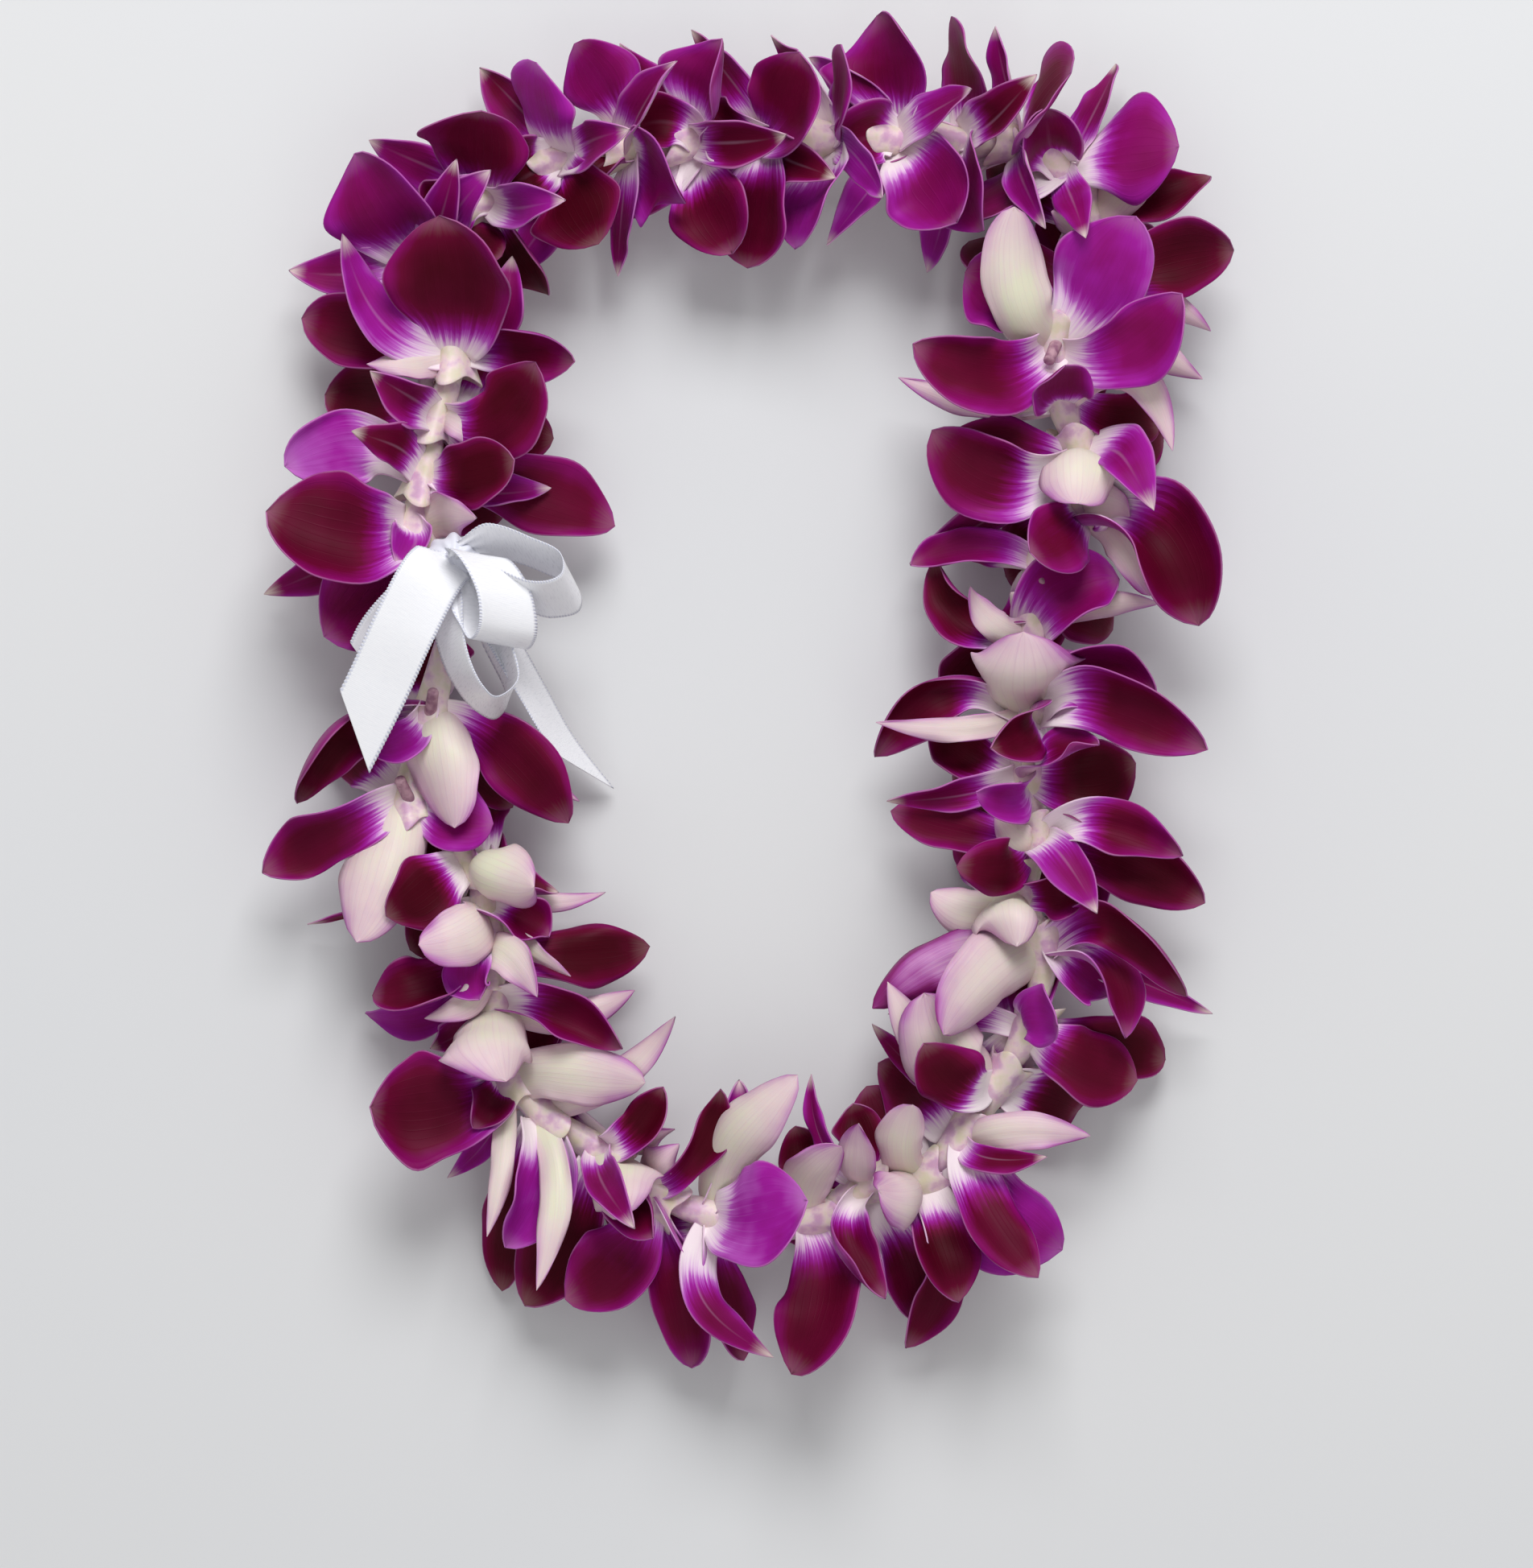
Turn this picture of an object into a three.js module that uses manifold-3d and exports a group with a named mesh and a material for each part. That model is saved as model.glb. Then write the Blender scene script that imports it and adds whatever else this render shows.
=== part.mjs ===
// A single-strand orchid lei, laid flat in a closed loop, with a satin bow tied on one side.
// Units are millimetres. The loop lies on the plane z = 0, x to the right, y away from the wearer's waist.

import * as THREE from 'three';
import { mergeVertices } from 'three/addons/utils/BufferGeometryUtils.js';
import Module from 'manifold-3d';

const wasm = await Module();
wasm.setup();

// Driving dimensions
const THREAD_RADIUS = 0.6;
const NEEDLE_HOLE_RADIUS = 1.3;
const THREAD_SIDES = 4;
const ARCH_BLOOMS = 10;
const CORE_SIDES = 5;
const CORE_HALF_LENGTH = 6.2;
const CORE_BACK_RADIUS = 3.2;
const CORE_RADIUS = 5.6;
const STUB_SIDES = 5;
const STUB_BLOOMS = [6, 7, 29, 33];
const STUB_BASE_RADIUS = 2.2;
const STUB_TIP_RADIUS = 1.6;
const STUB_LENGTH = 10;
const STUB_LIFT = 4.4;
const STUB_SHIFT = 3;
const STUB_BACKWARD = 0.75;
const STUB_UPWARD = 0.7;
const STUB_SIDEWAYS = 0.8;
const BLADE_RINGS = {
  broad: [0, 0.26, 0.5, 0.72, 0.89, 1],
  narrow: [0, 0.3, 0.6, 0.84, 1],
  plain: [0, 0.38, 0.74, 1],
};
const ROOT_SHARE = 0.3;
const ROOT_DISTANCE = 2.4;
const ROOT_TURNED_OUT = 0.9;
const CLAW_FALL = 1.5;
const ARCH_RISE = 1.2;
const ARCH_FALL = 0.4;
const BLADE_THICKNESS = 1.4;
const THIN_ROOT = 0.2;
const THIN_TIP = 0.12;
const WIDTH_MARGIN = 1.08;
const WIDTH_LEAST = 0.76;
const WIDTH_SPREAD = 0.3;
const WIDTH_KEPT = 0.4;
const TWIST_SPREAD = 70;
const BOW_SPREAD = 4.6;
const FLICK_SPREAD = 8;
const SWAY_SPREAD = 7;
const SKEW_SPREAD = 0.42;
const FOLD_AT_ROOT = 1.15;
const FOLD_EASING = 0.45;
const RIPPLE_TURNS = 1.2;
const RIPPLE_LAG = 1.9;
const CLEARANCE = 0.45;
const OWN_CLEARANCE = 0.2;
const FLOOR_LEVEL = 1;
const REST_LEVEL = -1.2;
const FLOOR_SOFTNESS = 1.5;
const REST_EVERY = 6;
const TEPALS_PER_BLOOM = 6;
const SWING_COST = 1 / 7;
const LIFT_COST = 1 / 5;
const SHRINK_COST = 25;
const FIRST_OF_ALL = -1000;
const LAST_OF_ALL = 1000;
const RIBBON_WIDTH = 19;
const RIBBON_THICKNESS = 0.7;
const GATHERED_SHARE = 0.3;
const GATHERED_UNTIL = 0.14;
const TAIL_CUT = 0.19;
const KNOT_RADIUS = 8;
const KNOT_SIDES = 8;
const KNOT_RINGS = 5;
const KNOT_FLATTENED = 0.95;
const KNOT_CENTRE = new THREE.Vector3(-87, 41, 38);
const BAND_SIDES = 4;
const BAND_RINGS = 8;
const BAND_HALF_WIDTH = 3.4;
const BAND_HALF_LENGTH = 4.6;
const BAND_PLACE = 0.45;
const BAND_MARGIN = 3;
const SMALLEST_EDGE = 0.05;
const TABLE_SIZE = 1000;
const TABLE_DEPTH = 20;
const CENTRE = new THREE.Vector2(0.33, 1.43);

// Outline and folds of each kind of tepal: its usual width in mm, width of the root as a share of it, where
// it is widest (peak), how full the outline is, how far its two halves fold up from the midrib in degrees,
// by how much that varies, and how much the edges wave in mm. A fin is a petal folded along its middle, and
// a hood or a cup shows the back of a sepal or of the tube.
const KINDS = {
  petal: { width: 30, claw: 0.24, peak: 1.4, full: 0.66, fold: 12, uneven: 24, wave: 2.2, rings: 'broad' },
  fin: { width: 17, claw: 0.36, peak: 1.2, full: 0.68, fold: 38, uneven: 28, wave: 3, rings: 'narrow' },
  sepal: { width: 14, claw: 0.46, peak: 0.9, full: 0.85, fold: 18, uneven: 20, wave: 0.9, rings: 'narrow' },
  hood: { width: 20, claw: 0.5, peak: 1.15, full: 0.55, fold: 26, uneven: 14, wave: 0.7, rings: 'narrow' },
  cup: { width: 20, claw: 0.5, peak: 1.1, full: 0.5, fold: 44, uneven: 12, wave: 0.3, rings: 'narrow' },
  lip: { width: 18, claw: 0.4, peak: 1.4, full: 0.65, fold: 34, uneven: 16, wave: 2.2, rings: 'plain' },
  under: { width: 23, claw: 0.36, peak: 1.15, full: 0.7, fold: 12, uneven: 18, wave: 1.2, rings: 'plain' },
  curl: { width: 10, claw: 0.5, peak: 1, full: 0.8, fold: 48, uneven: 20, wave: 0.9, rings: 'plain' },
};

// A bloom of the closing arch, a low tepal under its neighbours, and the low petal that a bloom rests on:
// angles in degrees and lengths in mm, as in the rows of BLOOMS.
const ARCH_STAR = {
  spin: 70, uneven: 16, leanLeast: 28, leanSpread: 30, openLeast: 62, openSpread: 22, lipOpen: 40,
  reachLeast: 35, reachSpread: 5, lipReach: 20, riseLeast: -22, riseMost: 48, arch: 3,
};
const LOW = { under: 25, rise: -26, reachLeast: 29, reachSpread: 7, turnSpread: 50, arch: 2 };
const RESTING = { rise: -38, reach: 37, arch: -7 };

// Blooms of the visible U, in the order they are strung. Each starts with its throat [x, y, z], then its
// tepals as [kind, bearing, rise, reach, turn, arch, sway, width]: bearing in degrees from +x toward +y,
// rise in degrees above the table, reach in mm from throat to tip, turn in degrees about its own length
// (0 shows the inner face upward, 180 the back), arch in mm upward, sway in mm to the left of its bearing
// and the width in mm that it shows.
const BLOOMS = [
  [[-95, 132, 20], [
    ['petal', 128, 35, 42, 0, 5, 4, 32], ['sepal', 92, 36, 34, -15, 3, 0, 11],
    ['sepal', 50, 34, 39, 10, 4, 3, 14], ['sepal', 186, 8, 42, 0, 3, 2, 14],
    ['petal', 59, 0, 42, 20, 3, 0, 23], ['petal', 10, -8, 30, 15, 3, 0, 20],
  ]],
  [[-87, 103, 22], [
    ['petal', 96, 36, 48, 0, 4, 0, 36], ['sepal', 133, 25, 52, -10, 3, 7, 14],
    ['petal', 356, 15, 39, -20, 5, 3, 18], ['petal', 167, -12, 48, 0, 3, 0, 23],
    ['sepal', 189, 26, 28, 170, 3, 0, 11], ['sepal', 46, 7, 34, 0, 4, -5, 13],
  ]],
  [[-92, 85, 22], [
    ['petal', 24, 33, 41, 15, 5, -9, 24], ['sepal', 150, 43, 29, 0, 4, -2, 13],
    ['petal', 170, -16, 37, 0, 2, 0, 22], ['petal', 349, -6, 36, 0, 3, 0, 17],
    ['sepal', 334, 34, 22, 175, 2, 0, 10],
  ]],
  [[-96, 67, 22], [
    ['petal', 177, 8, 42, 0, 4, -6, 22], ['sepal', 150, 40, 31, -10, 4, -4, 12],
    ['petal', 6, 38, 39, 10, 5, 0, 19], ['sepal', 354, 25, 42, 40, 5, -5, 12],
    ['petal', 345, -2, 59, 0, 4, 3, 21],
  ]],
  [[-99, 52, 22], [
    ['petal', 175, 31, 47, 0, 4, 6, 34], ['sepal', 204, -9, 51, 0, 2, 2, 12],
    ['petal', 232, 16, 45, 0, 5, 5, 29], ['sepal', 3, 37, 27, 180, 3, 0, 13],
    ['curl', 249, 41, 18, 0, 2, 0, 10],
  ]],
  [[-94, -3, 21], [
    ['hood', 282, 26, 39, 180, 5, -2, 21], ['petal', 342, 12, 55, -15, 6, 4, 20],
    ['fin', 215, 3, 49, 20, 4, -5, 15], ['sepal', 328, 1, 52, 165, 3, -3, 7],
    ['petal', 309, -13, 40, 0, 3, 0, 14], ['fin', 212, 17, 24, 0, 3, 0, 12],
  ]],
  [[-101, -29, 20], [
    ['hood', 252, 19, 48, 180, 5, 3, 22], ['fin', 229, 5, 49, 25, 5, 4, 15],
    ['petal', 342, 27, 31, 10, 4, 0, 21], ['petal', 268, -17, 33, 0, 3, 0, 22],
  ]],
  [[-82, -48, 20], [
    ['cup', 338, 48, 30, 180, 5, 0, 18], ['petal', 215, 18, 32, 0, 5, 3, 20],
    ['curl', 339, 12, 28, 50, 4, -3, 9], ['sepal', 346, -3, 41, 175, 3, -5, 6],
    ['sepal', 222, -6, 54, 40, 3, 2, 6],
  ]],
  [[-78, -62, 20], [
    ['fin', 326, 36, 34, 10, 4, 3, 17], ['hood', 231, 50, 31, 180, 5, 2, 16],
    ['petal', 210, -9, 27, 0, 3, 0, 17], ['curl', 322, 17, 35, 120, 3, 0, 5],
  ]],
  [[-78, -77, 20], [
    ['fin', 263, 59, 26, -10, 4, 0, 14], ['sepal', 325, 52, 33, 175, 6, 5, 11],
    ['fin', 206, 0, 53, 20, 4, 8, 11], ['fin', 219, 13, 37, -20, 4, 5, 14],
    ['petal', 3, 7, 49, 15, 5, -3, 17], ['sepal', 226, 30, 28, 180, 3, 3, 8],
  ]],
  [[-75, -92, 20], [
    ['hood', 282, 48, 35, 180, 6, 0, 24], ['fin', 343, 19, 43, 10, 4, 4, 15],
    ['sepal', 0, 0, 42, 178, 3, -2, 10], ['sepal', 213, -20, 24, 0, 2, 0, 12],
  ]],
  [[-71, -113, 21], [
    ['petal', 191, 19, 45, 0, 3, 4, 31], ['hood', 358, 26, 44, 180, 5, 4, 16],
    ['curl', 4, 1, 41, 0, 3, -3, 7], ['sepal', 239, 2, 35, 30, 3, 4, 8],
    ['fin', 235, 27, 20, 0, 3, 0, 10], ['sepal', 263, 20, 50, 175, 5, 4, 7],
  ]],
  [[-61, -123, 21], [
    ['fin', 255, 17, 44, 15, 4, 3, 18], ['sepal', 269, 20, 56, 170, 6, 8, 9],
    ['sepal', 5, 10, 51, 178, 4, -3, 9], ['petal', 257, -9, 58, 0, 3, 0, 16],
  ]],
  [[-44, -135, 21], [
    ['cup', 290, 54, 33, 180, 5, 0, 20], ['curl', 299, 42, 31, 20, 4, 0, 8],
    ['petal', 245, -8, 52, 0, 4, 4, 22], ['fin', 45, 25, 30, 0, 4, -4, 12],
    ['sepal', 16, 12, 24, 170, 4, 0, 8],
  ]],
  [[-28, -148, 21], [
    ['fin', 266, 63, 26, -25, 4, 0, 12], ['petal', 230, 10, 41, 10, 4, 8, 23],
    ['fin', 296, 1, 53, 0, 4, 5, 16], ['sepal', 62, 45, 24, 178, 3, 0, 11],
    ['fin', 301, -15, 36, 30, 3, 0, 10], ['fin', 44, 13, 40, 0, 4, -6, 9],
  ]],
  [[-10, -154, 21], [
    ['hood', 59, 27, 55, 180, 5, 5, 17], ['petal', 12, 45, 41, 0, 4, 0, 31],
    ['sepal', 294, 16, 47, 30, 7, -9, 11], ['petal', 282, -1, 45, 10, 4, 0, 15],
    ['curl', 79, 1, 41, 20, 4, 0, 9],
  ]],
  [[18, -156, 21], [
    ['petal', 272, 21, 47, 0, 5, 3, 26], ['hood', 66, 29, 31, 180, 4, 3, 14],
    ['petal', 97, -6, 28, 0, 3, 0, 16], ['fin', 302, -35, 16, 0, 3, 0, 11],
  ]],
  [[34, -146, 21], [
    ['sepal', 114, 19, 39, 25, 5, 5, 7], ['sepal', 92, 47, 32, 178, 4, 0, 11],
    ['fin', 282, 32, 39, 20, 6, -5, 12], ['fin', 293, -1, 44, 0, 4, 0, 14],
    ['petal', 95, -11, 25, 0, 3, 0, 14],
  ]],
  [[51, -144, 21], [
    ['cup', 191, 62, 31, 180, 6, 4, 17], ['hood', 94, 39, 34, 180, 5, 3, 13],
    ['fin', 273, 6, 51, 10, 5, 5, 13], ['fin', 289, 19, 40, 0, 5, -3, 16],
    ['petal', 324, -22, 25, 0, 3, 0, 17],
  ]],
  [[64, -131, 21], [
    ['sepal', 2, 24, 41, 170, 6, 5, 11], ['petal', 312, 16, 47, 0, 5, -5, 27],
    ['fin', 299, 4, 47, 10, 5, -6, 14], ['sepal', 350, 42, 34, 0, 4, -2, 8],
    ['petal', 276, -16, 33, 0, 3, 0, 14],
  ]],
  [[75, -115, 21], [
    ['petal', 151, 45, 38, 0, 5, 4, 19], ['sepal', 137, 23, 50, 178, 6, 6, 14],
    ['hood', 129, 36, 43, 178, 7, 6, 23], ['sepal', 154, 4, 41, 20, 4, 5, 9],
    ['sepal', 184, -3, 21, 0, 3, 0, 11],
  ]],
  [[84, -99, 21], [
    ['petal', 336, 11, 36, 0, 4, 0, 22], ['petal', 18, 58, 22, 20, 4, 3, 17],
    ['sepal', 174, -4, 42, 30, 3, 0, 9], ['petal', 347, -7, 43, 0, 3, 0, 19],
  ]],
  [[89, -75, 21], [
    ['fin', 185, 17, 57, 160, 7, -8, 12], ['hood', 197, 28, 45, 180, 6, -3, 22],
    ['fin', 342, 29, 48, 0, 8, 10, 14], ['fin', 313, 20, 38, 10, 5, 6, 12],
    ['sepal', 339, 3, 54, 0, 4, 3, 7], ['petal', 323, 12, 24, 10, 4, 3, 19],
  ]],
  [[82, -58, 21], [
    ['cup', 260, 61, 28, 180, 5, 0, 16], ['hood', 200, 32, 32, 178, 5, 6, 13],
    ['fin', 3, 38, 25, 0, 4, -4, 11], ['petal', 212, -25, 21, 0, 3, 0, 17],
  ]],
  [[87, -43, 21], [
    ['petal', 168, 6, 45, 15, 4, 4, 14], ['petal', 195, 42, 37, 0, 5, 5, 16],
    ['fin', 355, 24, 47, -10, 6, 9, 13], ['fin', 340, 3, 53, 10, 5, 6, 16],
    ['sepal', 309, 44, 33, 5, 5, 0, 13], ['sepal', 145, 52, 24, 178, 4, 0, 11],
  ]],
  [[84, -23, 21], [
    ['fin', 196, 56, 30, 10, 3, 3, 11], ['sepal', 190, 12, 43, 10, 4, 3, 10],
    ['petal', 6, 19, 34, 0, 4, 0, 23], ['fin', 47, 46, 35, 60, 5, 4, 10],
    ['fin', 153, -5, 32, 0, 3, 0, 15], ['petal', 181, -17, 24, 0, 3, 0, 17],
  ]],
  [[85, -4, 22], [
    ['cup', 98, 52, 35, 178, 5, 0, 29], ['fin', 195, 9, 49, 15, 7, -14, 15],
    ['sepal', 184, 22, 49, 165, 5, 5, 7], ['fin', 347, 14, 51, 0, 6, 6, 18],
    ['fin', 36, 20, 40, 10, 5, 5, 18], ['fin', 221, 57, 31, 30, 4, 3, 14],
  ]],
  [[85, 21, 21], [
    ['fin', 30, 30, 34, 0, 4, 4, 21], ['fin', 145, 11, 36, 10, 4, 4, 13],
    ['sepal', 148, 38, 31, 160, 4, 2, 9], ['sepal', 11, 4, 39, 176, 4, 4, 8],
    ['petal', 292, -24, 22, 0, 3, 0, 14],
  ]],
  [[88, 40, 21], [
    ['fin', 6, 34, 27, 0, 4, 2, 12], ['fin', 180, -1, 39, 0, 4, -4, 12],
    ['petal', 159, -17, 30, 0, 3, 0, 14],
  ]],
  [[100, 55, 22], [
    ['fin', 315, 19, 50, 10, 7, 12, 25], ['petal', 217, 46, 33, 0, 5, 3, 21],
    ['hood', 309, 7, 32, 178, 6, 6, 11], ['hood', 358, 37, 17, 178, 4, 2, 14],
  ]],
  [[99, 72, 22], [
    ['hood', 266, 60, 30, 180, 6, 0, 20], ['petal', 201, 26, 50, 0, 5, 6, 24],
    ['petal', 173, 14, 41, 10, 5, -4, 16], ['sepal', 321, 41, 34, 0, 6, 4, 15],
    ['sepal', 212, -8, 60, 10, 4, 3, 10],
  ]],
  [[94, 89, 22], [
    ['petal', 91, 65, 29, 10, 3, 0, 18], ['sepal', 172, 2, 49, 170, 5, 4, 8],
    ['sepal', 334, 21, 39, 170, 8, 12, 10], ['fin', 168, -8, 29, 0, 4, 2, 11],
    ['petal', 340, -11, 32, 0, 3, 0, 16],
  ]],
  [[92, 105, 24], [
    ['hood', 108, 33, 48, 180, 5, 3, 19], ['petal', 58, 22, 48, 0, 4, -3, 27],
    ['petal', 140, 19, 37, 0, 4, -3, 25], ['fin', 188, 27, 49, 0, 6, 8, 18],
    ['petal', 21, 31, 47, -10, 6, -6, 21],
  ]],
  [[104, 122, 21], [
    ['sepal', 340, -5, 37, 170, 4, 0, 10], ['sepal', 321, -10, 42, 178, 3, 0, 11],
    ['petal', 156, -4, 41, 0, 4, 0, 20], ['petal', 16, 7, 43, 0, 5, 3, 23],
    ['petal', 37, -2, 24, 0, 4, 0, 19],
  ]],
  [[102, 143, 20], [
    ['sepal', 64, 26, 37, 180, 5, -2, 14], ['petal', 118, 30, 28, 0, 4, 0, 29],
    ['fin', 19, 6, 39, 0, 4, -3, 11], ['sepal', 175, 69, 26, 178, 3, 0, 12],
    ['petal', 124, -10, 35, 0, 3, 0, 14],
  ]],
];

// Throats of the hidden part of the loop, which closes it in a flat arch from the last bloom to the first.
const ARCH_ROUTE = [
  [88, 164, 20], [62, 166, 20], [32, 167, 20], [0, 167, 20], [-32, 165, 20], [-64, 158, 20],
];

// The ribbon is tied round the bare thread between the fifth and the sixth bloom.
const RIBBON_AFTER = 5;
const KNOT_SEAT = [-89, 36, 22];

// Each run of ribbon as rows of [x, y, z] along its middle and the bearing and rise of its width. The last
// row of a tail is where its longer edge ends.
const RIBBON_RUNS = {
  longTail: [
    [-87, 42, 42, 150, 20], [-92, 37, 49, 152, 8], [-100, 22, 50, 153, 0], [-109, 3, 45, 153, -2],
    [-120, -18, 38, 153, -4],
  ],
  backTail: [
    [-87, 40, 37, 120, 40], [-98, 28, 38, 140, 24], [-107, 17, 34, 146, 14], [-113, 4, 28, 148, 10],
  ],
  frontLoop: [
    [-86, 42, 44, -8, -20], [-78, 42, 52, -9, -26], [-71, 31, 56, -10, -28], [-70, 20, 54, -10, -28],
    [-73, 16, 49, -10, -28], [-77, 22, 45, -10, -28], [-84, 38, 42, -8, -22],
  ],
  sideLoop: [
    [-86, 44, 41, -60, -46], [-73, 46, 42, -66, -53], [-61, 42, 43, -67, -53], [-52, 37, 45, -67, -53],
    [-52, 31, 48, -66, -53], [-60, 29, 48, -66, -53], [-71, 33, 45, -64, -50], [-84, 40, 41, -60, -46],
  ],
  lowLoop: [
    [-88, 38, 39, 205, -40], [-88, 23, 42, 212, -56], [-85, 10, 43, 218, -62], [-79, 0, 44, 235, -66],
    [-74, -3, 43, 255, -68], [-69, 2, 40, 240, -66], [-73, 15, 38, 225, -60], [-84, 37, 37, 210, -40],
  ],
  shortTail: [
    [-84, 39, 35, 210, 40], [-77, 26, 33, 210, 60], [-71, 15, 30, 210, 65], [-63, 1, 26, 211, 66],
    [-55, -13, 20, 213, 66], [-43, -29, 13, 215, 66],
  ],
};

// Small tools

const UP = new THREE.Vector3(0, 0, 1);
const toRadians = THREE.MathUtils.degToRad;

// A draw between 0 and 1 that is the same each time. The salt tells one draw of a bloom from another.
function draw(index, salt) {
  const wave = Math.sin(index * 12.9898 + salt * 78.233) * 43758.5453;
  return wave - Math.floor(wave);
}

function heading(bearing, rise) {
  const flat = Math.cos(toRadians(rise));
  return new THREE.Vector3(
    flat * Math.cos(toRadians(bearing)),
    flat * Math.sin(toRadians(bearing)),
    Math.sin(toRadians(rise)),
  );
}

// A closed mesh as a solid: shared vertices merged, flattened triangles left out.
function solidOf(geometry) {
  geometry.deleteAttribute('normal');
  geometry.deleteAttribute('uv');
  const merged = mergeVertices(geometry);
  const index = merged.getIndex();
  const triangles = [];
  for (let first = 0; first < index.count; first += 3) {
    const [a, b, c] = [index.getX(first), index.getX(first + 1), index.getX(first + 2)];
    if (a !== b && b !== c && c !== a) {
      triangles.push(a, b, c);
    }
  }
  const mesh = new wasm.Mesh({
    numProp: 3,
    vertProperties: Float32Array.from(merged.getAttribute('position').array),
    triVerts: Uint32Array.from(triangles),
  });
  return new wasm.Manifold(mesh);
}

function geometryOf(solid) {
  const mesh = solid.getMesh();
  const geometry = new THREE.BufferGeometry();
  geometry.setAttribute('position', new THREE.BufferAttribute(mesh.vertProperties, 3));
  geometry.setIndex(new THREE.BufferAttribute(mesh.triVerts, 1));
  geometry.computeVertexNormals();
  return geometry;
}

function alignTo(geometry, direction, point) {
  geometry.applyQuaternion(new THREE.Quaternion().setFromUnitVectors(new THREE.Vector3(0, 1, 0), direction));
  geometry.translate(point.x, point.y, point.z);
  return geometry;
}

function join(solids) {
  return wasm.Manifold.union(solids);
}

// The biggest body of a solid, without slivers, loose scraps and sealed hollows.
function largestBody(solid) {
  const bodies = solid.simplify(SMALLEST_EDGE).decompose();
  return bodies.reduce((best, body) => (body.volume() > best.volume() ? body : best));
}

// A thin slab over a grid of columns by rings, with the same triangles on both faces and a wall round its
// rim. place(u, v, side) gives a point: u from 0 to 1 along it, v from -1 to 1 across, side 1 or -1.
function slab(columns, rings, place) {
  const grid = new THREE.PlaneGeometry(1, 1, columns, rings.length - 1);
  const perRow = columns + 1;
  const count = grid.getAttribute('position').count;
  const points = [];
  for (const side of [1, -1]) {
    for (let index = 0; index < count; index += 1) {
      const row = rings.length - 1 - Math.floor(index / perRow);
      const across = (2 * (index % perRow)) / columns - 1;
      points.push(...place(rings[row], across, side).toArray());
    }
  }
  const triangles = [...grid.getIndex().array];
  const front = triangles.slice();
  for (let first = 0; first < front.length; first += 3) {
    triangles.push(front[first] + count, front[first + 2] + count, front[first + 1] + count);
  }
  const last = rings.length - 1;
  const rim = [];
  for (let column = 0; column < columns; column += 1) {
    rim.push(last * perRow + column);
  }
  for (let row = last; row > 0; row -= 1) {
    rim.push(row * perRow + columns);
  }
  for (let column = columns; column > 0; column -= 1) {
    rim.push(column);
  }
  for (let row = 0; row < last; row += 1) {
    rim.push(row * perRow);
  }
  rim.forEach((corner, order) => {
    const next = rim[(order + 1) % rim.length];
    triangles.push(corner, corner + count, next + count, corner, next + count, next);
  });
  const geometry = new THREE.BufferGeometry();
  geometry.setAttribute('position', new THREE.Float32BufferAttribute(points, 3));
  geometry.setIndex(triangles);
  return solidOf(geometry);
}

// Thread

const routePoints = BLOOMS.map(([throat]) => new THREE.Vector3(...throat));
routePoints.splice(RIBBON_AFTER, 0, new THREE.Vector3(...KNOT_SEAT));
for (const point of ARCH_ROUTE) {
  routePoints.push(new THREE.Vector3(...point));
}
const threadRoute = new THREE.CatmullRomCurve3(routePoints, true, 'centripetal');

function ringFrame(share) {
  const point = threadRoute.getPoint(share);
  const along = threadRoute.getTangent(share);
  const side = new THREE.Vector3().crossVectors(UP, along).normalize();
  const over = new THREE.Vector3().crossVectors(along, side);
  return { point, along, side, over };
}

// The blooms with their place on the thread, in the order they are strung.
const spans = routePoints.length;
const knotSeat = ringFrame(RIBBON_AFTER / spans);
const bloomList = BLOOMS.map(([, rows], index) => (
  { ...ringFrame((index < RIBBON_AFTER ? index : index + 1) / spans), rows, number: index + 1 }
));
const archStart = BLOOMS.length / spans;
for (let place = 1; place <= ARCH_BLOOMS; place += 1) {
  const share = archStart + ((1 - archStart) * place) / (ARCH_BLOOMS + 1);
  bloomList.push({ ...ringFrame(share), number: BLOOMS.length + place });
}

// The thread runs straight through each core, and straight from one core to the next.
const threadRings = [];
const seats = [...bloomList];
seats.splice(RIBBON_AFTER, 0, knotSeat);
for (const { point, along, side, over } of seats) {
  for (const end of [-1, 1]) {
    threadRings.push({ point: point.clone().addScaledVector(along, end * CORE_HALF_LENGTH), side, over });
  }
}

function threadPoint(ring, angle, radius) {
  const { point, side, over } = threadRings[ring % threadRings.length];
  const surface = point.clone().addScaledVector(side, radius * Math.cos(angle));
  return surface.addScaledVector(over, radius * Math.sin(angle));
}

// A closed tube round the whole loop: a torus whose rings are moved onto the thread's route.
function loopTube(radius) {
  const torus = new THREE.TorusGeometry(1, 0.1, THREAD_SIDES, threadRings.length);
  const position = torus.getAttribute('position');
  for (let index = 0; index < position.count; index += 1) {
    const ring = index % (threadRings.length + 1);
    const side = Math.floor(index / (threadRings.length + 1)) % THREAD_SIDES;
    const point = threadPoint(ring, (-2 * Math.PI * side) / THREAD_SIDES, radius);
    position.setXYZ(index, point.x, point.y, point.z);
  }
  return solidOf(torus);
}

// The thread in its straight lengths, which the tepals keep clear of.
function threadLengths() {
  return threadRings.map((ring, index) => {
    const start = threadPoint(index, 0, 0);
    const span = threadPoint(index + 1, 0, 0).sub(start);
    const piece = new THREE.CylinderGeometry(THREAD_RADIUS, THREAD_RADIUS, span.length(), THREAD_SIDES);
    return solidOf(alignTo(piece, span.clone().normalize(), start.addScaledVector(span, 0.5)));
  });
}

// Tepals

// How far a blade's middle has left the straight line from root to tip, 1 at half its length.
function archShape(u) {
  return 4 * u * (1 - u) * (ARCH_RISE - ARCH_FALL * u);
}

function archSlope(u) {
  return 4 * (1 - 2 * u) * (ARCH_RISE - ARCH_FALL * u) - 4 * ARCH_FALL * u * (1 - u);
}

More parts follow.
